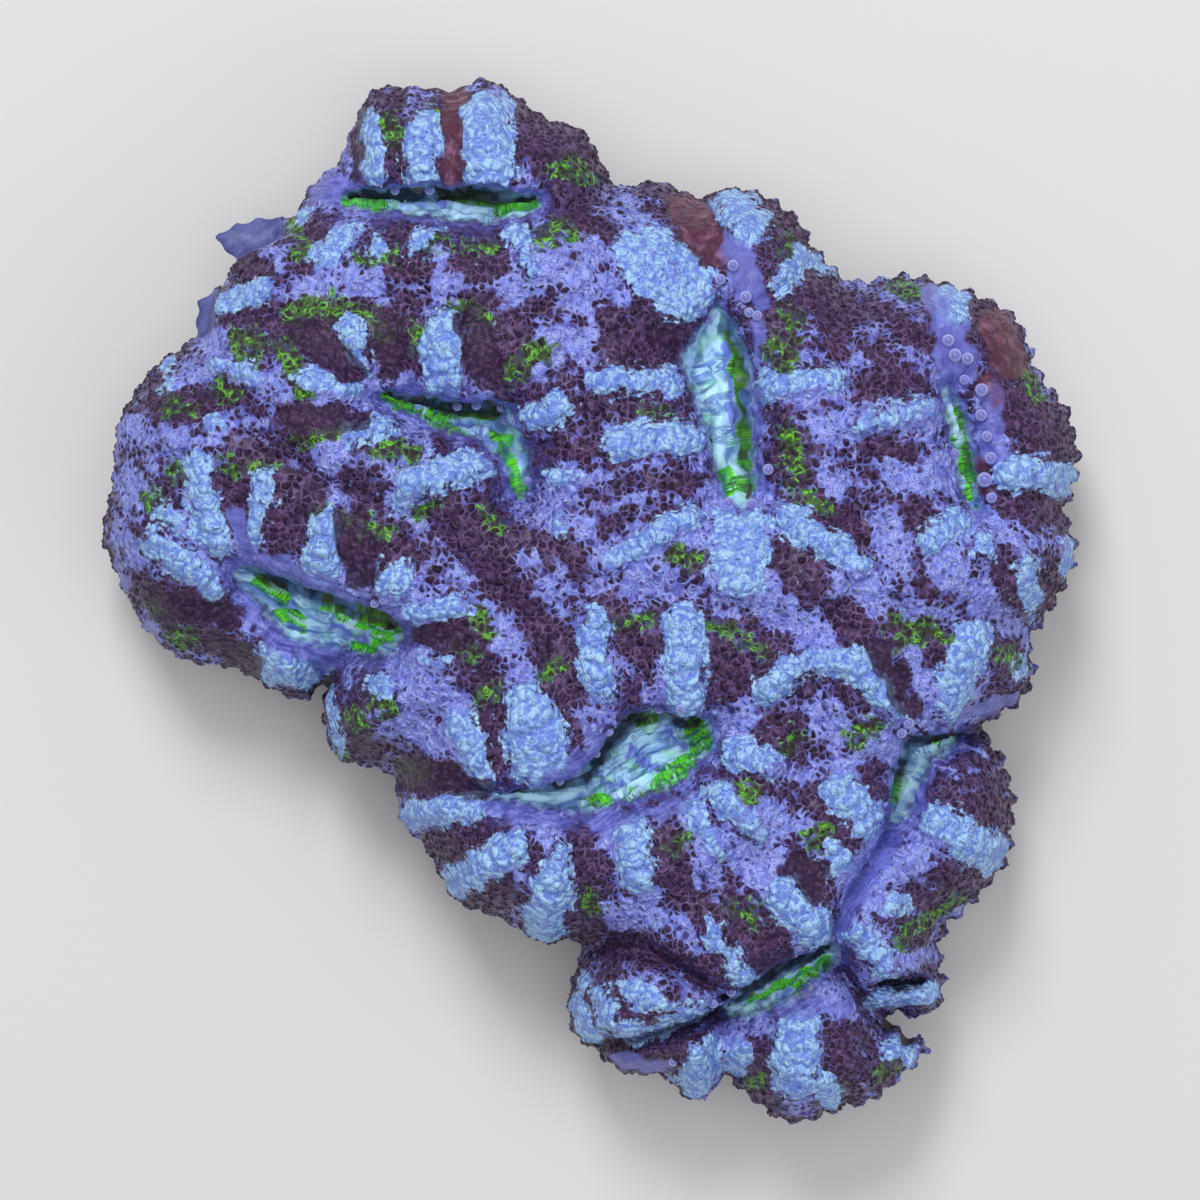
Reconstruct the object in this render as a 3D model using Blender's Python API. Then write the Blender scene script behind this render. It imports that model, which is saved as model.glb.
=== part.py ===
"""Acan coral colony: eight fleshy polyps grown together on one skeleton, cut off flat underneath.

The colony is one piece. Its form is worked out in millimetres as a top surface and an underside
over the plan, then closed along the margin, remeshed evenly, thinned, and cut flat at z = 0.
"""
import math

import bmesh
import bpy
import numpy as np
from mathutils import Vector

MM = 0.001

# Driving sizes, in millimetres.
GRID_STEP = 0.6             # spacing of the plan grid that carries the two surfaces
MARGIN_HEIGHT = 8.5         # height of the lowest live tissue above the cut
MARGIN_WAVE = 2.2           # how far the margin rises and falls along the edge
WALL_RADIUS = 12.5          # plan width of the rounded outer wall
WALL_RISE = 9.6             # height of the outer wall above the margin
DOME_RISE = 5.2             # further rise of the colony towards its middle
DOME_RADIUS = 46.0
CUSHION_RISE = 4.8          # how far a polyp swells above the lips of its mouth
CUSHION_REACH = 2.4         # distance over which that swelling builds up
MOUTH_DEPTH = 3.4
VALLEY_DEPTH = 1.3          # groove where two polyps meet
VALLEY_WIDTH = 3.4
BAND_RISE = 1.15            # swollen pale bands that run out from the mouths
BAND_ROLL = 0.16            # rolls across each band
BAND_ROLL_PITCH = 2.2
FULL_BAND = 1.2             # half width from which a band swells to its full height
LIP_SHIFT = 1.3             # how far an overhanging lip leans over its mouth
TOOTH_PITCH = 2.1           # teeth along the colony's edge
TOOTH_HEIGHT = 1.3
TOOTHY_SIDE = 30.0          # X from which the teeth are at their tallest
LIP_THICKNESS = 1.3         # rolled edge of the live tissue
BASE_INSET = 7.5            # how far the cut base lies inside the edge
BASE_WANDER = 1.8           # how much that varies round the colony
BASE_SINK = 3.0             # depth below the cut that is sawn off
RIB_PITCH = 2.6             # ribs of the bare skeleton under the edge
RIB_HEIGHT = 0.5
RIB_PATH_PASSES = 380       # how far the path that the ribs are counted along is rounded off
LIP_WOBBLE = 0.38           # how unevenly the lips of the mouths run
VOXEL = 0.55
THINNING = 0.058            # share of faces that the thinning keeps
CUTTER_SIDE = 140.0
CUTTER_DEPTH = 20.0

SPAN_STEPS = 10             # curve points between two named points of the edge
STEEP_ZONE = 3.0            # strip along the edge where the grid crowds together

# The edge of the colony seen from above, clockwise from its far left shoulder.
EDGE = [
    (-20.0, 45.9), (-18.6, 46.5), (-12.8, 46.2), (-9.8, 47.2), (-7.8, 46.4), (-4.5, 43.8),
    (-0.4, 42.2), (2.1, 37.8), (6.1, 38.1), (9.8, 36.7), (12.3, 37.6), (15.7, 36.8),
    (19.0, 34.2), (20.8, 31.3), (23.8, 29.0), (27.0, 29.5), (30.0, 29.3), (34.6, 27.9),
    (38.6, 25.4), (40.6, 20.6), (43.1, 17.5), (44.2, 13.9), (43.9, 10.8), (42.9, 8.0),
    (43.9, 4.5), (42.2, 0.0), (40.2, -2.9), (39.7, -4.3), (40.4, -6.2), (39.0, -9.2),
    (35.7, -11.6), (37.5, -14.3), (38.5, -18.1), (38.3, -21.8), (37.6, -24.2), (34.9, -27.5),
    (32.0, -30.2), (31.8, -33.0), (32.3, -34.6), (31.6, -36.1), (31.0, -38.0), (28.6, -37.8),
    (26.4, -37.6), (28.6, -39.3), (30.6, -39.9), (30.6, -41.1), (28.4, -43.0), (26.0, -45.3),
    (22.8, -46.1), (20.0, -47.2), (17.1, -47.2), (14.0, -44.9), (11.9, -43.1), (10.8, -44.8),
    (9.0, -45.3), (6.0, -43.0), (3.2, -42.9), (0.2, -40.9), (-1.8, -38.8), (-2.2, -36.5),
    (-1.7, -33.8), (-1.0, -31.8), (-1.8, -30.6), (-4.0, -31.1), (-6.1, -30.0), (-8.0, -28.8),
    (-11.7, -27.5), (-13.5, -25.4), (-15.0, -22.5), (-17.3, -20.0), (-18.0, -16.2),
    (-20.0, -15.2), (-23.1, -14.3), (-24.4, -10.8), (-24.0, -8.0), (-24.2, -7.2),
    (-26.0, -9.1), (-28.6, -8.3), (-31.9, -6.5), (-37.2, -5.3), (-40.6, -2.6), (-43.2, 2.4),
    (-44.4, 6.1), (-43.4, 10.6), (-43.1, 15.1), (-41.7, 18.3), (-39.0, 21.5), (-35.9, 23.8),
    (-35.7, 27.1), (-33.3, 28.6), (-32.4, 30.7), (-34.2, 32.9), (-30.7, 34.7), (-26.9, 34.9),
    (-25.9, 37.1), (-23.0, 39.6), (-21.9, 42.3), (-20.9, 44.5),
]

# Each polyp's mouth: points along the slit as (x, y, half width), and the way its lip leans.
MOUTHS = {
    "north": ([(-21.4, 35.8, 0.9), (-14.0, 35.4, 1.5), (-9.5, 35.1, 1.8), (-5.6, 35.3, 1.0)],
              (0, -1)),
    "heart": ([(-18.3, 18.0, 0.5), (-12.5, 16.4, 1.4), (-8.7, 15.8, 1.8), (-6.8, 12.8, 1.1),
               (-6.4, 9.3, 0.5)], (0.3, -1)),
    "tall": ([(11.2, 25.2, 0.7), (11.0, 21.4, 2.9), (11.9, 17.0, 2.3), (12.4, 13.0, 1.8),
              (13.0, 9.8, 1.5)], (-0.45, -0.05)),
    "east": ([(31.5, 18.3, 0.5), (32.5, 15.4, 0.8), (33.2, 10.6, 0.9), (33.8, 8.2, 0.5)],
             (-0.4, -0.1)),
    "west": ([(-30.2, 2.2, 1.2), (-25.6, -1.0, 2.6), (-18.8, -2.8, 2.1)], (-0.2, -1)),
    "middle": ([(-8.5, -17.0, 0.4), (-4.5, -17.1, 1.0), (-0.5, -16.8, 1.8), (2.4, -14.9, 2.9),
                (4.8, -13.2, 3.8), (7.0, -12.6, 3.5), (8.8, -12.0, 2.0)], (0.6, -1)),
    "notch": ([(32.2, -12.3, 0.7), (29.0, -13.2, 1.6), (27.9, -15.8, 1.4), (27.2, -19.2, 0.7)],
              (0.2, -1)),
    "south": ([(21.2, -31.3, 0.9), (17.4, -33.5, 1.8), (13.2, -36.0, 1.3)], (0.6, -1)),
}

# Creases between folds: points as (x, y), depth, half width.
CREASES = [
    ([(27.2, -18.5), (25.0, -22.5), (22.5, -26.3), (20.8, -29.0), (20.9, -31.6)], 3.4, 1.1),
    ([(12.0, -36.4), (7.5, -37.9), (3.0, -39.4), (-0.6, -40.2)], 4.2, 1.0),
    ([(25.6, -34.2), (29.4, -34.1)], 5.5, 0.6),
    ([(22.0, -33.0), (25.0, -36.6), (26.6, -37.6)], 3.6, 0.8),
    ([(20.8, -29.4), (17.0, -31.4), (13.0, -33.6), (10.4, -34.8)], 5.2, 0.8),
    ([(35.9, -11.6), (32.5, -12.2)], 4.0, 0.9),
    ([(-24.2, -7.4), (-22.6, -5.8), (-19.6, -4.6)], 2.6, 0.8),
    ([(-43.0, 12.8), (-34.0, 12.8)], 0.8, 0.5),
    ([(2.4, 38.0), (0.6, 35.6), (-1.6, 34.6)], 1.6, 0.9),
    ([(20.6, 31.6), (17.6, 27.8), (15.4, 26.4)], 1.4, 0.8),
    ([(-1.4, -31.0), (4.0, -30.2), (9.0, -33.4), (12.4, -34.4)], 3.0, 0.9),
    ([(12.0, -43.2), (11.2, -40.6), (11.6, -37.4)], 2.2, 0.8),
]

# Swollen pale bands: from x, y to x, y and half width.
BANDS = [
    (-19.7, 42.8, -19.3, 39.2, 1.0), (-15.0, 42.1, -14.8, 37.4, 1.45), (-9.3, 43.6, -9.0, 38.1, 2.1),
    (-21.7, 32.6, -23.8, 29.9, 1.1), (-14.0, 33.3, -15.5, 30.9, 0.9), (-6.9, 33.3, -5.2, 28.8, 0.9),
    (-18.8, 31.3, -18.8, 30.5, 0.7), (-25.9, 34.8, -25.9, 34.0, 0.8), (-21.2, 24.0, -20.5, 21.3, 0.9),
    (-12.8, 23.9, -12.9, 18.9, 1.7), (-24.8, 19.0, -21.7, 18.5, 1.0), (-20.7, 14.4, -17.9, 15.3, 0.8),
    (-9.7, 12.3, -15.5, 10.2, 1.4), (-15.5, 10.2, -16.4, 8.4, 0.9), (-6.9, 15.1, -2.8, 16.8, 1.1),
    (-3.5, 10.6, -0.5, 10.9, 0.7), (-2.8, 6.9, -2.8, 6.1, 0.8), (-33.0, 26.4, -29.0, 27.1, 1.0),
    (-32.7, 20.6, -29.3, 19.5, 0.9), (-38.4, 21.9, -38.0, 21.3, 1.0), (-37.4, 19.2, -37.0, 19.2, 0.8),
    (-33.2, 15.4, -32.2, 15.4, 0.7), (4.9, 30.2, 8.2, 27.4, 2.8), (8.2, 7.2, 1.6, 3.4, 1.2),
    (22.5, 30.0, 19.0, 30.5, 1.0), (19.0, 30.5, 17.0, 28.0, 1.0), (15.4, 18.5, 21.0, 19.2, 1.2),
    (23.3, 15.4, 29.5, 16.8, 1.2), (17.4, 7.0, 23.0, 3.0, 1.3), (32.5, 28.3, 31.8, 25.5, 1.5),
    (37.4, 11.3, 43.0, 10.6, 1.4), (42.6, 5.0, 42.8, 3.2, 1.2), (34.3, 5.6, 34.3, 4.6, 1.1),
    (29.5, 5.1, 32.6, 7.5, 1.2), (38.1, 3.4, 39.1, -0.4, 1.0), (33.6, -3.2, 31.3, -7.8, 1.7),
    (15.3, -7.8, 18.5, -5.3, 1.2), (18.5, -5.3, 22.5, -5.2, 1.2), (22.5, -5.2, 25.5, -8.5, 1.2),
    (11.8, -13.0, 15.5, -14.3, 1.3), (21.5, -16.5, 24.6, -20.0, 1.5), (21.3, -23.2, 21.3, -22.4, 1.0),
    (26.8, -27.0, 27.2, -26.6, 1.0), (16.6, -26.0, 19.6, -28.0, 1.6), (30.6, -19.8, 36.0, -22.8, 1.7),
    (23.6, -29.2, 26.0, -32.4, 1.1), (25.4, -35.6, 31.6, -35.2, 0.8), (18.0, -37.8, 18.3, -42.5, 2.0),
    (15.2, -32.6, 16.8, -33.0, 0.8), (10.3, -28.8, 12.8, -32.3, 0.8), (27.0, -39.8, 29.8, -40.7, 1.0),
    (-1.0, -33.8, -1.5, -36.5, 0.8), (-1.5, -36.5, 0.0, -39.0, 0.8), (0.7, -34.8, 1.7, -37.5, 0.8),
    (1.7, -37.5, 4.0, -38.6, 0.8), (4.0, -38.6, 8.7, -36.4, 0.8), (3.4, -34.4, 6.4, -35.6, 0.8),
    (0.0, -2.0, 0.3, -6.7, 1.3), (8.0, -2.2, 8.2, -7.8, 1.8), (-6.0, -8.5, -5.2, -10.4, 1.5),
    (-5.2, -10.4, -4.4, -12.6, 2.5), (-11.6, -10.8, -10.0, -14.5, 1.4), (-9.0, -17.8, -16.5, -19.3, 1.2),
    (-7.0, -21.5, -13.0, -25.7, 1.3), (-2.8, -22.0, -3.4, -25.0, 1.0), (-3.4, -25.0, -4.3, -29.2, 1.8),
    (3.3, -20.0, 4.0, -24.0, 1.5), (9.0, -18.3, 11.0, -21.8, 0.8), (11.0, -16.8, 14.5, -20.0, 1.0),
    (-34.5, 12.3, -33.4, 5.5, 1.2), (-28.6, 10.6, -29.3, 6.9, 0.8), (-23.1, 6.5, -23.2, 2.6, 1.2),
    (-18.0, 2.7, -16.4, 2.5, 1.2), (-38.5, 5.0, -33.0, 1.3, 1.2), (-37.6, 7.8, -35.0, 5.2, 0.6),
    (-11.8, -0.5, -16.5, -1.2, 0.9), (-28.0, -5.6, -25.0, -6.0, 1.9), (-19.0, -6.0, -18.3, -7.8, 0.9),
    (-23.6, -8.4, -22.6, -13.0, 0.6), (8.1, 19.4, 1.0, 19.0, 1.1), (9.2, 14.2, 2.5, 13.8, 1.4),
    (13.2, 6.6, 12.7, 2.2, 2.5), (13.0, 35.2, 13.8, 33.4, 1.8), (21.2, -21.8, 22.6, -23.2, 0.9),
    (12.7, -41.6, 13.3, -39.4, 0.9), (10.2, -40.6, 9.2, -43.2, 1.8), (20.6, -42.8, 21.2, -44.6, 1.0),
    (37.8, -6.8, 38.6, -5.8, 0.5), (-16.9, -4.4, -13.2, -5.4, 0.8),
]

# Thin smooth flaps that lie low at the edge: from, to, half width.
FLAPS = [((-33.0, 32.4), (-29.5, 33.6), 2.0), ((-35.2, 24.6), (-35.0, 27.4), 1.3)]


def smoothstep(low, high, value):
    t = np.clip((value - low) / (high - low), 0.0, 1.0)
    return t * t * (3.0 - 2.0 * t)


def closed_spline(points, steps):
    """A closed Catmull-Rom curve through the points."""
    named = np.array(points, dtype=float)
    before, after, beyond = np.roll(named, 1, 0), np.roll(named, -1, 0), np.roll(named, -2, 0)
    t = (np.arange(steps) / steps)[None, :, None]
    a, b, c, d = (p[:, None, :] for p in (before, named, after, beyond))
    curve = 0.5 * (2 * b + (c - a) * t + (2 * a - 5 * b + 4 * c - d) * t**2
                   + (3 * b - a - 3 * c + d) * t**3)
    return curve.reshape(-1, 2)


def toothed(loop):
    """Pushes the edge curve in and out into small even teeth."""
    ahead = np.roll(loop, -1, 0)
    lengths = np.linalg.norm(ahead - loop, axis=1)
    along = np.concatenate([[0.0], np.cumsum(lengths)[:-1]])
    teeth = round(lengths.sum() / TOOTH_PITCH)
    phase = 2.0 * math.pi * teeth * along / lengths.sum()
    tangent = ahead - np.roll(loop, 1, 0)
    tangent /= np.linalg.norm(tangent, axis=1)[:, None]
    outward = np.stack([-tangent[:, 1], tangent[:, 0]], axis=1)
    height = TOOTH_HEIGHT * (0.4 + 0.6 * smoothstep(0.0, TOOTHY_SIDE, loop[:, 0]))
    push = height * (0.45 - np.abs(np.sin(phase / 2.0)))
    return loop + outward * push[:, None]


def nearest_on_path(points, path, closed=False):
    """Distance to a path, the nearest point on it, and the share of its length run by then."""
    path = np.array(path, dtype=float)
    ends = np.roll(path, -1, 0) if closed else path[1:]
    starts = path if closed else path[:-1]
    lengths = np.linalg.norm(ends - starts, axis=1)
    run = np.concatenate([[0.0], np.cumsum(lengths)])
    best = np.full(len(points), np.inf)
    foot = np.zeros_like(points)
    share = np.zeros(len(points))
    for index, (start, end) in enumerate(zip(starts, ends)):
        step = end - start
        t = np.clip((points - start) @ step / max(step @ step, 1e-12), 0.0, 1.0)
        spot = start + t[:, None] * step
        distance = np.linalg.norm(points - spot, axis=1)
        closer = distance < best
        best[closer] = distance[closer]
        foot[closer] = spot[closer]
        share[closer] = (run[index] + t[closer] * lengths[index]) / run[-1]
    return best, foot, share


def rib_count(points, loop):
    """How many ribs lie before each point, counted along a rounder copy of the edge curve."""
    for _pass in range(RIB_PATH_PASSES):
        loop = (np.roll(loop, 1, 0) + 2.0 * loop + np.roll(loop, -1, 0)) / 4.0
    length = np.linalg.norm(np.roll(loop, -1, 0) - loop, axis=1).sum()
    return nearest_on_path(points, loop, closed=True)[2] * round(length / RIB_PITCH)


def inside_loop(points, loop):
    inside = np.zeros(len(points), dtype=bool)
    x, y = points[:, 0], points[:, 1]
    for (x0, y0), (x1, y1) in zip(loop, np.roll(loop, -1, 0)):
        crosses = (y0 > y) != (y1 > y)
        level = y1 - y0 if y1 != y0 else 1e-12
        inside ^= crosses & (x < (x1 - x0) * (y - y0) / level + x0)
    return inside


def wave(points, directions):
    """Smooth unevenness between about -1 and 1: a few sine waves across the plan."""
    total = np.zeros(len(points))
    for dx, dy, phase in directions:
        total += np.sin(points[:, 0] * dx + points[:, 1] * dy + phase)
    return total / len(directions)


def mouth_distances(points):
    """Distance to each polyp's lip: negative inside the mouth, with the mouth's own half width."""
    distances, widths = [], []
    wobble = LIP_WOBBLE * wave(points, ((2.1, 0.9, 0.7), (-1.3, 2.6, 2.2), (4.1, -2.3, 0.9), (3.0, 4.4, 4.0)))
    for path, _lean in MOUTHS.values():
        named = np.array(path)
        distance, _foot, share = nearest_on_path(points, named[:, :2])
        steps = np.linalg.norm(np.diff(named[:, :2], axis=0), axis=1)
        run = np.concatenate([[0.0], np.cumsum(steps)]) / steps.sum()
        width = np.interp(share, run, named[:, 2])
        distances.append(distance - width + wobble)
        widths.append(width)
    return np.array(distances), np.array(widths)


def band_relief(points):
    """Swollen bands with rolls across them."""
    relief = np.zeros(len(points))
    for x0, y0, x1, y1, half_width in BANDS:
        start, end = (x0, y0), (x1, y1)
        distance, _foot, share = nearest_on_path(points, [start, end])
        length = math.dist(start, end)
        swell = smoothstep(1.35 * half_width, 0.35 * half_width, distance)
        rolls = BAND_ROLL * np.cos(2.0 * math.pi * share * length / BAND_ROLL_PITCH)
        strength = min(1.0, half_width / FULL_BAND)
        relief = np.maximum(relief, swell * strength * (BAND_RISE + rolls))
    return relief


def margin_height(points):
    """Height of the tissue's edge, which rises and falls along the colony."""
    angle = np.arctan2(points[:, 1], points[:, 0])
    wave = np.sin(3.0 * angle + 0.6) + 0.6 * np.sin(7.0 * angle + 2.0) + 0.4 * np.sin(13.0 * angle)
    outer = smoothstep(10.0, 30.0, np.linalg.norm(points, axis=1))
    return MARGIN_HEIGHT + MARGIN_WAVE * 0.5 * wave * outer


def top_surface(points, depth):
    """Height of the live surface, from the plan position and the distance inside the edge."""
    share = np.clip(depth / WALL_RADIUS, 0.0, 1.0)
    wall = np.sqrt(np.clip(1.0 - (1.0 - share) ** 2, 0.0, 1.0))
    radius = np.linalg.norm(points, axis=1)
    dome = DOME_RISE * np.clip(1.0 - (radius / DOME_RADIUS) ** 2, 0.0, 1.0)
    distances, widths = mouth_distances(points)
    order = np.sort(distances, axis=0)
    nearest = distances.argmin(axis=0)
    lip = order[0]
    width = widths[nearest, np.arange(len(points))]
    cushion = CUSHION_RISE * (1.0 - np.exp(-np.maximum(lip, 0.0) / CUSHION_REACH))
    sunk = np.clip(-lip / np.maximum(width, 0.1), 0.0, 1.0)
    mouth = MOUTH_DEPTH * np.sqrt(np.clip(1.0 - (1.0 - sunk) ** 2, 0.0, 1.0)) * np.clip(width, 0.6, 1.6) / 1.6
    apart = (order[1] - order[0]) / VALLEY_WIDTH
    valley = VALLEY_DEPTH * np.exp(-(apart**2)) * smoothstep(2.0, 6.0, lip)
    crease = np.zeros(len(points))
    for path, fall, half_width in CREASES:
        distance = nearest_on_path(points, path)[0]
        crease = np.maximum(crease, fall * np.exp(-((distance / half_width) ** 2)))
    flat = np.zeros(len(points))
    for start, end, half_width in FLAPS:
        distance = nearest_on_path(points, [start, end])[0]
        flat = np.maximum(flat, smoothstep(1.5 * half_width, 0.8 * half_width, distance))
    relief = cushion - mouth - valley - crease + band_relief(points)
    height = wall * (WALL_RISE + dome) + np.minimum(wall * 1.4, 1.0) * relief
    lowered = 1.2 * wall
    return margin_height(points) + height * (1.0 - flat) + lowered * flat


def under_surface(points, depth, count):
    """Rolled tissue edge, then the ribbed skeleton narrowing down to the base."""
    rim = margin_height(points)
    roll = np.clip(depth / LIP_THICKNESS, 0.0, 1.0)
    lip = LIP_THICKNESS * np.sqrt(np.clip(1.0 - (1.0 - roll) ** 2, 0.0, 1.0))
    angle = np.arctan2(points[:, 1], points[:, 0])
    inset = BASE_INSET + BASE_WANDER * (0.6 * np.sin(5.0 * angle) + 0.4 * np.sin(11.0 * angle + 1.0))
    ribs = RIB_HEIGHT * np.cos(2.0 * math.pi * count) * smoothstep(LIP_THICKNESS, STEEP_ZONE, depth)
    fall = np.clip((depth + ribs - LIP_THICKNESS) / (inset - LIP_THICKNESS), 0.0, None)
    start = rim - lip
    return np.maximum(start - start * fall**1.5, -BASE_SINK)


def lean_over_mouths(points):
    """Sideways shift that leans the lips on the far side out over their mouths."""
    shift = np.zeros_like(points)
    distances, _widths = mouth_distances(points)
    nearest = distances.argmin(axis=0)
    lip = distances.min(axis=0)
    bulge = smoothstep(-0.4, 1.3, lip) * (1.0 - smoothstep(2.6, 7.0, lip))
    for index, (path, lean) in enumerate(MOUTHS.values()):
        foot = nearest_on_path(points, np.array(path)[:, :2])[1]
        outward = points - foot
        outward /= np.maximum(np.linalg.norm(outward, axis=1), 1e-9)[:, None]
        facing = np.clip(-(outward @ np.array(lean, dtype=float)), 0.0, 1.0)
        mine = nearest == index
        shift[mine] -= (outward * (facing * bulge * LIP_SHIFT)[:, None])[mine]
    return shift


def colony_mesh():
    """Closes the two surfaces along the edge into one mesh."""
    loop = toothed(closed_spline(EDGE, SPAN_STEPS))
    low, high = loop.min(axis=0), loop.max(axis=0)
    columns = int((high[0] - low[0]) / GRID_STEP) + 3
    rows = int((high[1] - low[1]) / GRID_STEP) + 3
    xs = low[0] - GRID_STEP + GRID_STEP * np.arange(columns)
    ys = low[1] - GRID_STEP + GRID_STEP * np.arange(rows)
    centres = np.stack(np.meshgrid(xs[:-1] + GRID_STEP / 2, ys[:-1] + GRID_STEP / 2), axis=-1)
    kept = inside_loop(centres.reshape(-1, 2), loop).reshape(rows - 1, columns - 1)
    corners = np.arange(rows * columns).reshape(rows, columns)
    row, column = np.nonzero(kept)
    quads = np.stack([corners[row, column], corners[row, column + 1],
                      corners[row + 1, column + 1], corners[row + 1, column]], axis=1)
    used, quads = np.unique(quads, return_inverse=True)
    quads = quads.reshape(-1, 4)
    plan = np.stack(np.meshgrid(xs, ys), axis=-1).reshape(-1, 2)[used]
    sides = np.concatenate([quads[:, [k, (k + 1) % 4]] for k in range(4)])
    keys = np.sort(sides, axis=1)
    _unique, first, count = np.unique(keys, axis=0, return_index=True, return_counts=True)
    open_sides = sides[first[count == 1]]
    edge_points = np.unique(open_sides)
    depth, foot, _share = nearest_on_path(plan, loop, closed=True)
    depth = np.where(inside_loop(plan, loop), depth, 0.0)
    depth[edge_points] = 0.0
    crowd = np.clip(depth / STEEP_ZONE, 0.0, 1.0)
    packed = np.where(depth < STEEP_ZONE, STEEP_ZONE * crowd**2 * (2.0 - crowd), depth)
    pull = packed / np.maximum(depth, 1e-9)
    plan = np.where((depth < STEEP_ZONE)[:, None], foot + (plan - foot) * pull[:, None], plan)
    top = top_surface(plan, packed)
    under = under_surface(plan, packed, rib_count(plan, loop))
    top[edge_points] = margin_height(plan[edge_points])
    leaned = plan + lean_over_mouths(plan) * smoothstep(1.0, 4.0, packed)[:, None]
    upper = np.column_stack([leaned, top])
    lower = np.column_stack([plan, np.minimum(under, top - 0.4)])
    mesh = bmesh.new()
    upper_verts = [mesh.verts.new(Vector(point) * MM) for point in upper]
    lower_verts = list(upper_verts)
    on_edge = np.zeros(len(plan), dtype=bool)
    on_edge[edge_points] = True
    for index in np.nonzero(~on_edge)[0]:
        lower_verts[index] = mesh.verts.new(Vector(lower[index]) * MM)
    for quad in quads:
        mesh.faces.new([upper_verts[k] for k in quad])
        flipped = [lower_verts[k] for k in quad[::-1]]
        if not all(on_edge[quad]):
            mesh.faces.new(flipped)
    return mesh


def remove_everything():
    for item in list(bpy.data.objects):
        bpy.data.objects.remove(item, do_unlink=True)


def coral_material():
    material = bpy.data.materials.new("coral_tissue")
    material.use_nodes = True
    shader = material.node_tree.nodes["Principled BSDF"]
    shader.inputs["Base Color"].default_value = (0.10, 0.09, 0.28, 1.0)
    shader.inputs["Roughness"].default_value = 0.4
    return material


def ground_cutter():
    """Block that saws the colony off flat at z = 0."""
    mesh = bmesh.new()
    bmesh.ops.create_cube(mesh, size=1.0)
    size = Vector((CUTTER_SIDE, CUTTER_SIDE, CUTTER_DEPTH)) * MM
    bmesh.ops.scale(mesh, vec=size, verts=mesh.verts)
    bmesh.ops.translate(mesh, vec=(0.0, 0.0, -CUTTER_DEPTH * MM / 2.0), verts=mesh.verts)
    data = bpy.data.meshes.new("ground_cutter")
    mesh.to_mesh(data)
    mesh.free()
    cutter = bpy.data.objects.new("ground_cutter", data)
    cutter.hide_render = True
    cutter.display_type = "WIRE"
    bpy.context.scene.collection.objects.link(cutter)
    return cutter


def build_colony():
    mesh = colony_mesh()
    data = bpy.data.meshes.new("acan_colony")
    mesh.to_mesh(data)
    mesh.free()
    colony = bpy.data.objects.new("acan_colony", data)
    bpy.context.scene.collection.objects.link(colony)
    data.materials.append(coral_material())
    remesh = colony.modifiers.new("even_skin", "REMESH")
    remesh.mode = "VOXEL"
    remesh.voxel_size = VOXEL * MM
    thin = colony.modifiers.new("thinning", "DECIMATE")
    thin.ratio = THINNING
    cut = colony.modifiers.new("flat_cut", "BOOLEAN")
    cut.operation = "DIFFERENCE"
    cut.solver = "EXACT"
    cut.object = ground_cutter()
    return colony


remove_everything()
build_colony()
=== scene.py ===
"""Dresses the acan coral colony: live tissue as fine meshes, one per polyp, on a ribbed skeleton.

The colony's form is worked out in millimetres over the plan, as its construction is, then remeshed
finely. Colour fields are stored on the mesh, and the materials turn them into vesicles and bands.
"""
import math
from functools import partial, reduce

import bpy
import numpy as np
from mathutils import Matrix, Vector


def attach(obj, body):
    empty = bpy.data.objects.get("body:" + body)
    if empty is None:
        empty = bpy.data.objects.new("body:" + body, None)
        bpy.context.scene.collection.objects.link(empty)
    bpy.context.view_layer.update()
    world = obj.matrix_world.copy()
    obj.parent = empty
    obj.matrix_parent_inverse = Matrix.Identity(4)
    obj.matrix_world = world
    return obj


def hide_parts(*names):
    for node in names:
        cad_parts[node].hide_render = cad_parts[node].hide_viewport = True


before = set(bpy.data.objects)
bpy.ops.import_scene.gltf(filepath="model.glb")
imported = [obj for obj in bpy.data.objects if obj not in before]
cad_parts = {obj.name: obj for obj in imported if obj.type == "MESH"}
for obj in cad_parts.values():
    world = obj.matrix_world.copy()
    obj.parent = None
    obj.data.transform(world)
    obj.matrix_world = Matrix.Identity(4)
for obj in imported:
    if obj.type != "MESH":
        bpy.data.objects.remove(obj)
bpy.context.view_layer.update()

MM = 0.001

# ---------------------------------------------------------------- sizes, in millimetres
# Fineness of the grids over the plan, and of the remeshed forms.
GRID_STEP = 0.38
SKIN_VOXEL = 0.205
SKELETON_STEP = 0.7
SKELETON_VOXEL = 0.65
SPAN_STEPS = 10             # pieces of each span of the edge curve
STEEP_ZONE = 3.0            # rows of the grid crowd together this near the edge
# The edge and the whole colony.
MARGIN_HEIGHT = 8.5
MARGIN_WAVE = 2.2
MARGIN_CALM = 10.0          # distance from the centre up to which the margin's height has no wave
MARGIN_WAVY = 30.0          # distance from which it has all of it
WALL_RADIUS = 12.5
WALL_RISE = 9.6
DOME_RISE = 5.2
DOME_RADIUS = 46.0
LIP_THICKNESS = 1.3
TOOTH_PITCH = 2.1
TOOTH_HEIGHT = 1.3
TOOTH_OUTSIDE = 0.45        # share of a tooth that stands out past the smooth edge
TOOTHY_SIDE = 30.0          # X from which the teeth are at their tallest
LOW_TEETH = 0.4             # share of their height that the teeth keep on the other side
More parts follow.
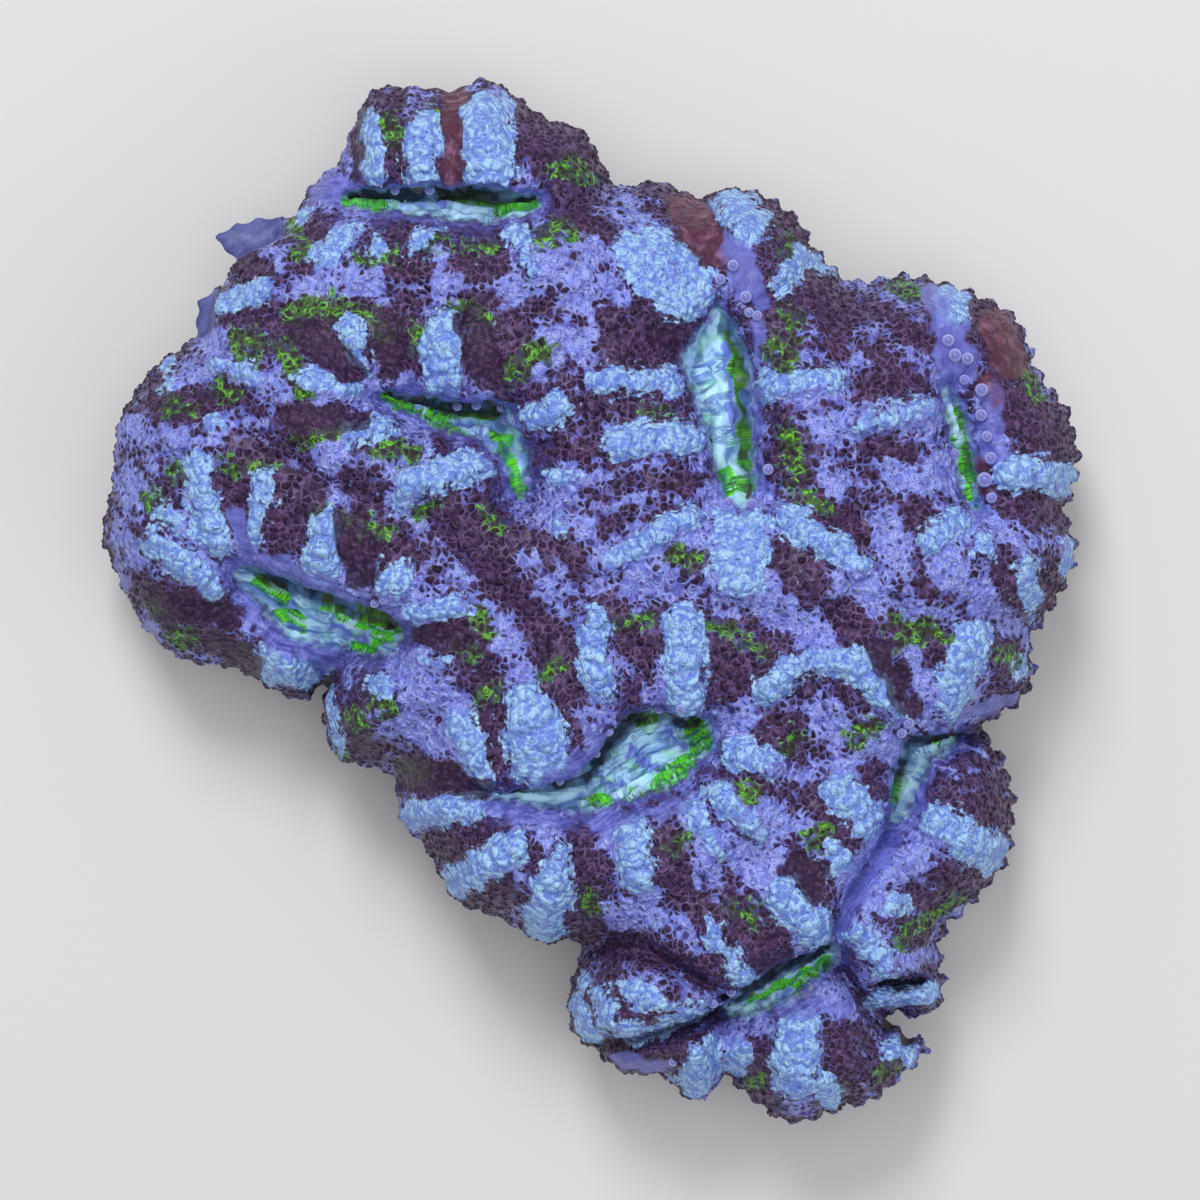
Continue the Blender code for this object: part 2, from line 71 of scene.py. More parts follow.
# Polyps: cushions around sunken mouths, with valleys between them.
CUSHION_RISE = 4.8
CUSHION_REACH = 2.4
MOUTH_DEPTH = 3.4
NARROW_MOUTH = 0.6          # half width up to which a mouth is at its shallowest
WIDE_MOUTH = 1.6            # half width from which it has its full depth
VALLEY_DEPTH = 1.3
VALLEY_WIDTH = 3.4
LIP_SHIFT = 1.3             # how far a lip leans out over its mouth
LIP_WOBBLE = 0.38
RIDGE_RISE = 1.1
RIDGE_SOFTNESS = 0.5
FLAP_SOFTNESS = 1.4
BAND_RISE = 1.0
BAND_ROLL = 0.24
BAND_ROLL_PITCH = 1.35
BAND_SWAY = 0.9
PATCH_FALL = 0.35
FLAP_RISE = 1.2
THINNEST = 0.4              # least thickness of the form
THINNEST_CORE = 0.3         # the same where the top is lowered for the skeleton
# The skeleton under the edge.
BASE_INSET = 7.5
BASE_WANDER = 1.8
BASE_SINK = 3.0
RIB_PITCH = 2.6
RIB_HEIGHT = 0.5
RIB_PATH_PASSES = 380       # how far the path that the ribs are counted along is rounded off
RIB_CREST = 0.45            # how far each rib's sharp crest stands out further on the bare skeleton
SKIN_TUCK = 2.4             # how far the live tissue reaches in under the edge
CORE_DROP = 2.6             # how far the skeleton's hidden top lies below the tissue
CORE_EDGE_DROP = 0.6        # the same at its edge
CORE_SHRINK = 0.004         # share by which the skeleton is drawn in, to stay inside the tissue
# The skin's relief.
VESICLE = 0.66              # small bubbles of the skin
LUMP = 0.78                 # coarse bubbles on the pale bands
VESICLE_HEIGHT = 0.24
LUMP_HEIGHT = 0.24
RANDOMNESS = 0.8            # how unevenly the vesicles are spread, from 0 to 1
FOLD_PITCH = 0.9
FOLD_HEIGHT = 0.34
STRIA_PITCH = 0.42
STRIA_HEIGHT = 0.035
SWELL_HEIGHT = 0.10
STROKE_DRIFT = 0.55         # how far the edges of the colour strokes wander
VESICLE_SWAY = 0.24         # how far the rows of vesicles bend
BUBBLE_REACH = 0.56         # where a bubble's dome starts, as a share of its size from the centre
BUBBLE_TOP = 0.06           # where it is at its full height
TIP_RADIUS = 0.46
TIP_STRETCH = 1.1           # height of a tentacle tip for its width
TIP_LIFT = 0.55             # how many radii a tip's centre stands above the skin
RAY_START = 60.0            # height from which rays look for the skin below the tips
# The patterns of the materials.
SKIN_GRAIN = 0.36
SKIN_PATCHES = 1.1
SKIN_BUMP = 0.16
SKIN_BUMP_STRENGTH = 0.75
MOUTH_GLOW = 0.16           # strength of the painted glow that the floors of the mouths give
STONE_GRAIN = 0.5
STONE_GRANULES = 0.55
STONE_PITS = 1.1
STONE_STAINS = 7.0
STONE_BUMP = 0.14
STONE_BUMP_STRENGTH = 0.7
STONE_SHADE = (5.5, 8.5)    # heights between which painted shade darkens the bare skeleton under the tissue
TIP_MOTTLE = 0.25

# Waves across the plan: each is (radians per mm in x, the same in y, phase).
LIP_WAVES = ((2.1, 0.9, 0.7), (-1.3, 2.6, 2.2), (4.1, -2.3, 0.9), (3.0, 4.4, 4.0))
ROLL_WAVES = ((1.3, 0.8, 0.2), (-0.9, 1.6, 2.4))
RIM_WAVES = ((5.1, 3.3, 0.4), (-4.0, 6.2, 2.0))
HEM_WAVES = ((0.9, 0.4, 0.4), (-0.7, 1.1, 2.0))
SWELL_WAVES = ((1.1, 0.4, 0.3), (-0.7, 1.3, 1.7), (0.3, -1.7, 4.0))
DRIFT_WAVES = (((1.9, 0.7, 0.4), (-1.2, 2.3, 1.1), (3.4, 1.6, 2.9)),
               ((0.8, -1.8, 3.4), (2.2, 1.3, 0.2), (-1.5, 3.6, 5.1)))
SWAY_WAVES = (((2.9, 1.7, 0.3), (-1.3, 4.1, 2.0), (5.2, -2.6, 4.4), (3.9, 5.5, 1.2)),
              ((1.6, -3.1, 1.9), (4.4, 1.2, 0.6), (-2.2, -5.0, 3.0), (6.1, 2.8, 5.0)),
              ((3.3, 0.9, 2.5), (-0.8, 3.7, 0.1), (4.9, 3.8, 1.0), (-5.6, 2.1, 3.6)))
# Waves around the colony: each is (count, share, phase).
MARGIN_WAVES = ((3, 1.0, 0.6), (7, 0.6, 2.0), (13, 0.4, 0.0))
BASE_WAVES = ((5, 0.6, 0.0), (11, 0.4, 1.0))

# ---------------------------------------------------------------- where things are, in millimetres
# The edge of the live tissue, as seen from above.
EDGE = [
    (-20, 45.9), (-18.6, 46.5), (-12.8, 46.2), (-9.8, 47.2), (-7.8, 46.4), (-4.5, 43.8), (-0.4, 42.2),
    (2.1, 37.8), (6.1, 38.1), (9.8, 36.7), (12.3, 37.6), (15.7, 36.8), (19, 34.2), (20.8, 31.3), (23.8, 29),
    (27, 29.5), (30, 29.3), (34.6, 27.9), (38.6, 25.4), (40.6, 20.6), (43.1, 17.5), (44.2, 13.9),
    (43.9, 10.8), (42.9, 8), (43.9, 4.5), (42.2, 0), (40.2, -2.9), (39.7, -4.3), (40.4, -6.2), (39, -9.2),
    (35.7, -11.6), (37.5, -14.3), (38.5, -18.1), (38.3, -21.8), (37.6, -24.2), (34.9, -27.5), (32, -30.2),
    (31.8, -33), (32.3, -34.6), (31.6, -36.1), (31, -38), (28.6, -37.8), (26.4, -37.6), (28.6, -39.3),
    (30.6, -39.9), (30.6, -41.1), (28.4, -43), (26, -45.3), (22.8, -46.1), (20, -47.2), (17.1, -47.2),
    (14, -44.9), (11.9, -43.1), (10.8, -44.8), (9, -45.3), (6, -43), (3.2, -42.9), (0.2, -40.9),
    (-1.8, -38.8), (-2.2, -36.5), (-1.7, -33.8), (-1, -31.8), (-1.8, -30.6), (-4, -31.1), (-6.1, -30),
    (-8, -28.8), (-11.7, -27.5), (-13.5, -25.4), (-15, -22.5), (-17.3, -20), (-18, -16.2), (-20, -15.2),
    (-23.1, -14.3), (-24.4, -10.8), (-24, -8), (-24.2, -7.2), (-26, -9.1), (-28.6, -8.3), (-31.9, -6.5),
    (-37.2, -5.3), (-40.6, -2.6), (-43.2, 2.4), (-44.4, 6.1), (-43.4, 10.6), (-43.1, 15.1), (-41.7, 18.3),
    (-39, 21.5), (-35.9, 23.8), (-35.7, 27.1), (-33.3, 28.6), (-32.4, 30.7), (-34.2, 32.9), (-30.7, 34.7),
    (-26.9, 34.9), (-25.9, 37.1), (-23, 39.6), (-21.9, 42.3), (-20.9, 44.5),
]
# Each polyp: its slit as (x, y, half width), the way its lip leans, the width of its smooth lip
# and how deep the purple beside it is.
MOUTHS = {
    "north": ([(-21.4, 35.8, 0.9), (-14, 35.4, 1.5), (-9.5, 35.1, 1.8), (-5.6, 35.3, 1)], (0, -1), 1.2, 0.6),
    "heart": ([(-18.3, 18, 0.5), (-12.5, 16.4, 1.4), (-8.7, 15.8, 1.8), (-6.8, 12.8, 1.1), (-6.4, 9.3, 0.5)],
              (0.3, -1), 1.1, 0.7),
    "tall": ([(11.2, 25.2, 0.7), (11, 21.4, 2.9), (11.9, 17, 2.3), (12.4, 13, 1.8), (13, 9.8, 1.5)],
             (-0.45, -0.05), 0.8, 0.1),
    "east": ([(31.5, 18.3, 0.5), (32.5, 15.4, 0.8), (33.2, 10.6, 0.9), (33.8, 8.2, 0.5)],
             (-0.4, -0.1), 0.9, 0.1),
    "west": ([(-30.2, 2.2, 1.2), (-25.6, -1, 2.6), (-18.8, -2.8, 2.1)], (-0.2, -1), 1.6, 0.5),
    "middle": ([(-8.5, -17, 0.4), (-4.5, -17.1, 1), (-0.5, -16.8, 1.8), (2.4, -14.9, 2.9),
                (4.8, -13.2, 3.8), (7, -12.6, 3.5), (8.8, -12, 2)], (0.6, -1), 1, 0.9),
    "notch": ([(32.2, -12.3, 0.7), (29, -13.2, 1.6), (27.9, -15.8, 1.4), (27.2, -19.2, 0.7)],
              (0.2, -1), 1, 0.2),
    "south": ([(21.2, -31.3, 0.9), (17.4, -33.5, 1.8), (13.2, -36, 1.3)], (0.6, -1), 1, 0.5),
}
# Strokes: from x, y to x, y and half width. First smooth purple ridges that stand up from the
# floors of the mouths.
RIDGES = [
    (11.9, 23.4, 12.1, 19, 0.24), (12.1, 19, 12.6, 14.4, 0.22), (3.2, -13.4, 5.6, -14.8, 0.34),
    (13.8, 20, 14.2, 16, 0.2), (-14, 35.4, -13, 34.7, 0.3), (-23.4, -2, -20.6, -3.6, 0.25),
    (6.2, -11.6, 8.2, -12.6, 0.2), (0.2, -15, 2.2, -16.4, 0.25), (-11.6, 16, -8.6, 13.4, 0.2),
]
# Creases between folds: points as (x, y), depth, half width.
CREASES = [
    ([(27.2, -18.5), (25, -22.5), (22.5, -26.3), (20.8, -29), (20.9, -31.6)], 3.4, 1.1),
    ([(12, -36.4), (7.5, -37.9), (3, -39.4), (-0.6, -40.2)], 4.2, 1),
    ([(25.6, -34.2), (29.4, -34.1)], 5.5, 0.6), ([(22, -33), (25, -36.6), (26.6, -37.6)], 3.6, 0.8),
    ([(20.8, -29.4), (17, -31.4), (13, -33.6), (10.4, -34.8)], 5.2, 0.8),
    ([(35.9, -11.6), (32.5, -12.2)], 4, 0.9), ([(-24.2, -7.4), (-22.6, -5.8), (-19.6, -4.6)], 2.6, 0.8),
    ([(-43, 12.8), (-34, 12.8)], 0.8, 0.5), ([(2.4, 38), (0.6, 35.6), (-1.6, 34.6)], 1.6, 0.9),
    ([(20.6, 31.6), (17.6, 27.8), (15.4, 26.4)], 1.4, 0.8),
    ([(-1.4, -31), (4, -30.2), (9, -33.4), (12.4, -34.4)], 3, 0.9),
    ([(12, -43.2), (11.2, -40.6), (11.6, -37.4)], 2.2, 0.8),
]
# Thin smooth flaps that lie low at the edge.
FLAPS = [
    (-33, 32.4, -29.5, 33.6, 2), (-35.2, 24.6, -35, 27.4, 1.3),
]
# Swollen pale bands with coarse bubbles.
PALE = [
    (-19.7, 42.8, -19.3, 39.2, 1), (-15, 42.1, -14.8, 37.4, 1.45), (-9.3, 43.6, -9, 38.1, 2.1),
    (-21.7, 32.6, -23.8, 29.9, 1.1), (-14, 33.3, -15.5, 30.9, 0.9), (-6.9, 33.3, -5.2, 28.8, 0.9),
    (-18.8, 31.3, -18.8, 30.5, 0.7), (-25.9, 34.8, -25.9, 34, 0.8), (-21.2, 24, -20.5, 21.3, 0.9),
    (-12.8, 23.9, -12.9, 18.9, 1.7), (-24.8, 19, -21.7, 18.5, 1), (-20.7, 14.4, -17.9, 15.3, 0.8),
    (-9.7, 12.3, -15.5, 10.2, 1.4), (-15.5, 10.2, -16.4, 8.4, 0.9), (-6.9, 15.1, -2.8, 16.8, 1.1),
    (-3.5, 10.6, -0.5, 10.9, 0.7), (-2.8, 6.9, -2.8, 6.1, 0.8), (-33, 26.4, -29, 27.1, 1),
    (-32.7, 20.6, -29.3, 19.5, 0.9), (-38.4, 21.9, -38, 21.3, 1), (-37.4, 19.2, -37, 19.2, 0.8),
    (-33.2, 15.4, -32.2, 15.4, 0.7), (4.9, 30.2, 8.2, 27.4, 2.8), (8.2, 7.2, 1.6, 3.4, 1.2),
    (22.5, 30, 19, 30.5, 1), (19, 30.5, 17, 28, 1), (15.4, 18.5, 21, 19.2, 1.2),
    (23.3, 15.4, 29.5, 16.8, 1.2), (17.4, 7, 23, 3, 1.3), (32.5, 28.3, 31.8, 25.5, 1.5),
    (37.4, 11.3, 43, 10.6, 1.4), (42.6, 5, 42.8, 3.2, 1.2), (34.3, 5.6, 34.3, 4.6, 1.1),
    (29.5, 5.1, 32.6, 7.5, 1.2), (38.1, 3.4, 39.1, -0.4, 1), (33.6, -3.2, 31.3, -7.8, 1.7),
    (15.3, -7.8, 18.5, -5.3, 1.2), (18.5, -5.3, 22.5, -5.2, 1.2), (22.5, -5.2, 25.5, -8.5, 1.2),
    (11.8, -13, 15.5, -14.3, 1.3), (21.5, -16.5, 24.6, -20, 1.5), (21.3, -23.2, 21.3, -22.4, 1),
    (26.8, -27, 27.2, -26.6, 1), (16.6, -26, 19.6, -28, 1.6), (30.6, -19.8, 36, -22.8, 1.7),
    (23.6, -29.2, 26, -32.4, 1.1), (25.4, -35.6, 31.6, -35.2, 0.8), (18, -37.8, 18.3, -42.5, 2),
    (15.2, -32.6, 16.8, -33, 0.8), (10.3, -28.8, 12.8, -32.3, 0.8), (27, -39.8, 29.8, -40.7, 1),
    (-1, -33.8, -1.5, -36.5, 0.8), (-1.5, -36.5, 0, -39, 0.8), (0.7, -34.8, 1.7, -37.5, 0.8),
    (1.7, -37.5, 4, -38.6, 0.8), (4, -38.6, 8.7, -36.4, 0.8), (3.4, -34.4, 6.4, -35.6, 0.8),
    (0, -2, 0.3, -6.7, 1.3), (8, -2.2, 8.2, -7.8, 1.8), (-6, -8.5, -5.2, -10.4, 1.5),
    (-5.2, -10.4, -4.4, -12.6, 2.5), (-11.6, -10.8, -10, -14.5, 1.4), (-9, -17.8, -16.5, -19.3, 1.2),
    (-7, -21.5, -13, -25.7, 1.3), (-2.8, -22, -3.4, -25, 1), (-3.4, -25, -4.3, -29.2, 1.8),
    (3.3, -20, 4, -24, 1.5), (9, -18.3, 11, -21.8, 0.8), (11, -16.8, 14.5, -20, 1),
    (-34.5, 12.3, -33.4, 5.5, 1.2), (-28.6, 10.6, -29.3, 6.9, 0.8), (-23.1, 6.5, -23.2, 2.6, 1.2),
    (-18, 2.7, -16.4, 2.5, 1.2), (-38.5, 5, -33, 1.3, 1.2), (-37.6, 7.8, -35, 5.2, 0.6),
    (-11.8, -0.5, -16.5, -1.2, 0.9), (-28, -5.6, -25, -6, 1.9), (-19, -6, -18.3, -7.8, 0.9),
    (-23.6, -8.4, -22.6, -13, 0.6), (8.1, 19.4, 1, 19, 1.1), (9.2, 14.2, 2.5, 13.8, 1.4),
    (13.2, 6.6, 12.7, 2.2, 2.5), (13, 35.2, 13.8, 33.4, 1.8), (21.2, -21.8, 22.6, -23.2, 0.9),
    (12.7, -41.6, 13.3, -39.4, 0.9), (10.2, -40.6, 9.2, -43.2, 1.8), (20.6, -42.8, 21.2, -44.6, 1),
    (37.8, -6.8, 38.6, -5.8, 0.5), (-16.9, -4.4, -13.2, -5.4, 0.8),
]
# Skin with maroon pits, and little net between them.
MAROON = [
    (-5.5, 43, -2, 38.6, 1.6), (-17.4, 43.6, -17, 39, 0.7), (-24.8, 33.8, -24.8, 32.4, 1.1),
    (-12, 33, -8.4, 31.2, 1.3), (-3, 36.6, -1.6, 33.4, 1.6), (-18.4, 33.4, -16.6, 33.2, 0.9),
    (-19.6, 23.6, -15.6, 22.6, 1.4), (-10.2, 25.2, -6.8, 22.4, 1.5), (-8.8, 22, -6.8, 19.4, 1.5),
    (-6.4, 19.2, -5.4, 17.8, 1.3), (-5.6, 14.2, -4.6, 12, 1.2), (-31.4, 24.8, -30, 24.6, 1),
    (-37.4, 17.2, -35.6, 17, 1.1), (-32.6, 17.9, -31, 17.7, 1), (3.4, 23.4, 7.4, 22.6, 1.7),
    (1, 17, 7.6, 16.6, 0.9), (3, 10.6, 8.6, 10.4, 0.9), (3.4, 7.9, 8.8, 8.6, 0.6),
    (16.8, 3.2, 18.4, 1.4, 1.6), (7.6, 4.4, 8.6, 3.4, 0.9), (20, 27.6, 22.6, 24.6, 1.9),
    (16.2, 26, 16.6, 23.8, 1.2), (24.8, 19.2, 26.4, 18.7, 1), (26.4, 12.9, 28, 12.8, 0.9),
    (17.4, 15.8, 18.6, 10, 1.3), (18.2, 8.2, 24, 5.8, 1), (25.6, 25.4, 28.8, 23, 1.2),
    (36.9, 16.8, 42.2, 13.4, 1.5), (36.9, 9, 42.6, 7.5, 1.1), (36.6, 2.8, 37.4, 1.8, 0.9),
    (41.3, 2, 41.3, 0.4, 1.2), (28.4, 7.7, 29.2, 7.3, 0.9), (36.2, -4.6, 37.2, -5, 1.2),
    (38, -7.2, 38.4, -8.6, 0.9), (15.7, -11.2, 16.7, -11.5, 1.6), (13.4, -15.9, 14.8, -16.4, 1),
    (22.6, -14.4, 24.4, -15.2, 1.1), (20.5, -20.2, 23, -21.8, 0.9), (19, -17.4, 20.4, -18.6, 1),
    (32.2, -17.6, 34.6, -18.6, 1.1), (33, -26, 35.5, -25, 1), (28.2, -28.6, 29.2, -29.4, 1.1),
    (31.4, -24, 33, -24.4, 0.8), (22, -38.4, 22.2, -43.4, 1.2), (14.7, -41.6, 14.8, -44, 1),
    (14.6, -38.6, 15.2, -40.2, 1), (2.2, -31, 12, -32.2, 1.1), (0.2, -35, 2.2, -39, 0.5),
    (12.4, -28.6, 14.6, -29.6, 1.9), (7.4, -26.2, 10, -28.2, 1.2), (-3.3, -5, -2.8, -9, 1.2),
    (-9, -8, -8.5, -13, 1.3), (4, -2.6, 4.4, -7.6, 1.2), (-8.5, -20.3, -15, -22.5, 1.1),
    (-7.5, -25.3, -11, -27.5, 1.2), (-1.2, -21, -0.4, -29, 1.5), (7, -20.4, 7.6, -22.4, 1.2),
    (12, -15, 13, -15.4, 0.9), (7, -24.6, 8.6, -25.4, 1), (-32.6, 10.2, -32.2, 8.2, 1.2),
    (-25.9, 9.2, -25.2, 6.2, 1.4), (-36.8, 9.8, -36.4, 8.4, 0.9), (-21.9, -10.6, -21.5, -11.8, 1.2),
    (-40.4, 1.4, -39.4, 0.4, 1), (-9.6, 3.4, -6.4, 1.4, 1.2), (-5.6, -0.6, -3.2, -3, 1),
    (-13.6, 7.2, -11.4, 4.2, 1.1), (-8.4, 6.6, -6.6, 4.6, 1), (1.2, 25.2, 2, 22.8, 1.2),
    (21.4, 22.4, 25.4, 21.8, 1.1), (21.4, 12.6, 25, 10.4, 0.9), (27.6, 1.6, 31.4, 0.2, 1),
    (22.4, -1.2, 24.4, -3, 1), (10.9, -4.8, 12.4, -6.8, 1), (32, -14.5, 37.5, -14.3, 0.4),
    (32, -16, 37.8, -16.1, 0.35), (31.5, -18, 37.5, -18.8, 0.8), (-1.5, 41, 0.6, 39.6, 1.2),
    (34.5, 26.6, 38, 24.6, 1.1), (38.8, 16.6, 43, 15, 1.2), (19, 27.2, 22.8, 26.6, 1),
    (-19, 38, -16.6, 41, 0.9), (-31, 30, -29, 29.6, 1), (-17, 28.9, -13.6, 28.6, 0.6),
    (-11.6, 29, -7.4, 29.4, 1.1), (-20, 31.6, -16.6, 32.2, 0.6), (-19.8, 22.2, -15.4, 21.8, 0.9),
    (17.6, 33.6, 19.4, 31.8, 0.9), (-28, 9.6, -24.6, 8.6, 1.1), (-4, 5, -1.4, 4.2, 0.7),
    (-21, 5.8, -18.6, 4, 1.2), (-13, 5.8, -10.4, 6.4, 0.8),
]
# Purple skin with open vesicles.
LILAC_NET = [
    (-28.6, 30.8, -27.4, 29.2, 0.9), (-27, 27.6, -19, 27.8, 0.9), (-19, 27.8, -5, 27.4, 0.7),
    (-13.4, 29.4, -13.1, 25, 0.8), (-5.4, 30, 0, 27.2, 1.5), (-2, 32.2, 2.2, 29, 1.1),
    (-2.4, 25.6, 1, 26.2, 0.9), (-3.6, 23.2, -0.4, 22, 1.3), (-20, 20.2, -9, 20.2, 0.8),
    (-28, 18.8, -22, 17.8, 0.8), (-41.8, 15, -33, 14.2, 1.2), (-32, 15.6, -28, 15.8, 0.9),
    (-36.4, 19.6, -28, 19.6, 1), (-34, 24, -32.8, 21.8, 1), (-24, 13.8, -22.4, 12.2, 0.8),
    (-20.8, 12.2, -17, 11.2, 0.7), (-3, 8.2, 1.8, 3, 1.4), (1, 4.2, 7.6, 5.4, 1.2), (0.4, 1.4, 9, 1, 1.2),
    (11.4, 2, 12, -1, 1.2), (14.6, 0.8, 19.4, -3, 1.8), (-15.2, 7.6, -10.8, 3.2, 1.5),
    (-5.6, 3, -2, -1.6, 1.5), (-8.6, -1.6, -6, -6, 1.2), (-21, 3.6, -17.4, 1.2, 0.8),
    (-14.8, -6.2, -12.4, -9, 2), (-18, -10.6, -13, -12.2, 1.1), (2, -5.2, 4.6, -6.6, 1.5),
    (-0.6, -8.4, -0.6, -13, 1.1), (11.4, -10.6, 13.6, -10, 1.3), (-4, -20.2, 2, -20.8, 0.9),
    (4.6, -26.8, 8.4, -27.2, 1.7), (8, -20, 9.2, -24.6, 0.8), (12, -21, 15, -24.2, 1.5),
    (13.6, -17.2, 18.6, -20, 1.4), (16.2, -15, 20.2, -15.4, 1.1), (20.2, -10.6, 22.2, -14, 1.5),
    (24.6, -9.8, 26, -14, 0.8), (22.2, -24.8, 24.6, -21.6, 1.1), (25, -24.6, 29.6, -21.6, 1.7),
    (27, -31.8, 31.6, -31.4, 1.1), (31, -29.2, 33, -28.6, 0.7), (27.8, -4.8, 29.2, -8.6, 1.2),
    (24, -0.4, 31, -0.8, 0.8), (36.4, -2, 39.4, -3.4, 0.9), (2.6, 36.2, 3.6, 34, 1.1),
    (1.2, 28.4, 2.2, 26.8, 1), (22.8, 24.6, 23.4, 20.4, 1), (27.4, 26.6, 28.2, 25.2, 0.8),
    (18.6, 15.2, 29, 16.2, 1.5), (18.4, 17.4, 22.4, 17.8, 0.8), (19, 10.8, 30.6, 10.4, 1.6),
    (25.6, 7, 26.6, 2.6, 1.9), (-1.4, 10.6, 9, 11, 1.1), (1, 8.4, 7, 9.2, 0.7), (10.6, 9, 15.4, 8.6, 1),
    (21.6, 1.6, 24.6, 0.8, 1.3), (34.6, 7, 37.4, 4.8, 1.2), (29.6, 3, 34.6, -0.6, 1.4),
    (40, 5.6, 42.4, 4.6, 1), (40.6, 19.4, 42.4, 18.4, 0.8), (13.2, -39, 15.2, -37.8, 0.9),
    (20.8, -37.6, 21, -41, 0.8), (-41, 10.8, -40.2, 7.6, 0.8), (-42, 6.2, -40.6, 4.4, 1),
    (-36.4, 6.4, -33.8, 3.4, 0.6), (31, -13.6, 37, -13.4, 0.35), (31.5, -15.3, 37.8, -15.2, 0.4),
    (31.5, -16.8, 37.5, -17.2, 0.35), (-14.4, 44.8, -16.8, 43.6, 0.7), (-8, 45.4, -11, 45.8, 0.6),
    (17.6, -44.6, 19.4, -46, 0.9), (18.2, 27.9, 22.6, 27.8, 0.35), (18.4, 25.4, 22.8, 25.1, 0.35),
    (18.8, 23.4, 23, 23.3, 0.35), (18.6, 21.1, 23.2, 20.9, 0.5), (23, 29.6, 23.4, 20.2, 0.5),
    (4.2, 31.6, 7.2, 29, 1.3), (26.4, 22, 29, 21, 0.5), (27, 30, 29, 28.8, 0.5),
]
# Maroon patches without bubbles, a little sunk.
SMOOTH_MAROON = [
    (-25.5, 23.5, -21.8, 20.9, 1.5), (-17.8, 24, -17.2, 21.8, 1.3), (-10.6, 24.4, -8.6, 20.6, 1.3),
    (-26.2, 15.8, -20.5, 15.6, 1.1), (-20.9, 6.4, -19.8, 3.6, 1.5), (-39, -0.2, -32.2, -1.4, 1.2),
    (-17, -2.7, -11.6, -3.3, 1.1), (-16, -15.5, -9.8, -16, 1.5), (25, -4.4, 26.8, -7.8, 1.1),
    (18, -23.4, 19.2, -24.2, 1.5), (-20.8, -12.2, -20.2, -13.2, 0.8), (5.4, 23.2, 6.8, 22.8, 1),
    (-33.2, -3.6, -30.6, -5.6, 1.3), (-21, 43.6, -20.9, 38, 0.5),
]
# Green vesicle walls.
GREEN = [
    (-13.9, 43.4, -13, 42.6, 0.6), (-17.9, 42.2, -17.3, 41.6, 0.6), (-11.2, 43.6, -10.6, 43, 0.6),
    (-27.6, 33.9, -26.2, 32.8, 0.7), (-25.8, 30.9, -24.4, 30.5, 0.8), (-20.4, 30, -17.4, 30.2, 0.7),
    (-14.8, 31.2, -13.2, 31.6, 0.7), (-10.8, 30.8, -8.4, 31.2, 0.6), (-5, 31.6, -3.4, 32.2, 0.7),
    (-2.4, 38.8, -0.4, 37.6, 0.8), (-2.6, 33, -1.6, 32.2, 0.6), (-26.6, 25.2, -22.6, 25.8, 0.8),
    (-22.4, 25.7, -19.4, 25.2, 0.7), (-18.4, 24.3, -17.2, 23.6, 0.6), (-15.4, 23.5, -14.2, 23.1, 0.6),
    (-11.6, 25.4, -9.4, 24.8, 0.7), (-26.9, 22.2, -26.2, 20.4, 0.8), (-25.6, 18.8, -25, 18.2, 0.6),
    (-6.6, 20.7, -4.6, 21.9, 1.1), (-25.4, 14, -22.2, 14.8, 0.7), (-18.9, 13.2, -17.5, 13.2, 0.7),
    (-17, 13.2, -16, 12.8, 0.8), (-31.4, 23.2, -29.4, 22.8, 0.7), (-30.8, 21.2, -29.6, 20.8, 0.6),
    (-37.2, 17.2, -35.4, 17, 0.7), (-32.6, 18.4, -31.2, 18, 0.6), (17.2, 25.4, 17.9, 23.6, 0.7),
    (16.4, 22.2, 17.4, 20.6, 0.9), (17.6, 14.8, 18.3, 10.8, 0.8), (17.4, 32.4, 17.6, 30.8, 0.6),
    (18.9, 9, 20.6, 8, 0.6), (7.2, 4, 8.8, 3.5, 0.7), (4.8, 16.6, 6.4, 16.4, 0.5),
    (38.7, 20.3, 39.7, 18.4, 0.8), (27.2, 27.7, 29, 27.3, 0.6), (36, -4.4, 37.2, -5.2, 0.7),
    (26.3, -1.8, 31.4, -3.3, 0.5), (26.9, -3.6, 29.4, -3, 0.5), (16.8, -13, 18.2, -11.8, 0.6),
    (12.9, -16.6, 14.2, -16.8, 0.6), (22.8, -11.6, 24.2, -10.6, 0.7), (19.6, -20.9, 20.6, -20.1, 0.6),
    (33, -26.3, 29.8, -28.4, 0.5), (29.8, -28.4, 27.2, -30.2, 0.6), (26, -41.8, 26.8, -41.2, 0.7),
    (14.2, -43.4, 14.8, -42.4, 0.6), (-16.9, -14.8, -15.5, -15.2, 0.7), (1.2, -2.2, 4.8, -1.6, 0.5),
    (9.8, -1.8, 12.4, -2.8, 0.6), (13.4, -3.4, 14.8, -4.4, 0.6), (-0.4, -26.2, 0.4, -27, 0.7),
    (12.4, -27, 13.8, -27.2, 0.6), (7, -21.6, 8.2, -20.8, 0.6), (-38.9, 8.7, -37.9, 8.1, 0.6),
    (-36.6, 11.4, -35.8, 11.2, 0.6), (-32.2, 11.7, -31.2, 11.5, 0.6), (-29.1, 11.6, -28.1, 11.4, 0.6),
    (-23.6, 7.5, -22, 6.9, 0.7), (-19.2, 6.4, -18, 5.8, 0.7), (-39.6, -0.5, -38.4, -1.1, 0.6),
    (-37.6, -3.1, -35.4, -3.5, 0.7), (-10.2, -1.2, -9.2, -2.6, 0.7), (-11.5, -4.1, -10.3, -4.6, 0.7),
    (-21.2, -10.2, -20.2, -10.8, 0.6), (-19, -8.9, -18.2, -9.3, 0.6), (-22.8, -13.3, -22, -13.9, 0.6),
    (-15.4, 7.4, -13.8, 8.4, 0.6), (-9.4, 7.6, -8, 6.4, 0.5), (-4.4, -6.6, -2.6, -5.6, 0.5),
    (-9.6, -9, -8.6, -7.8, 0.5),
]
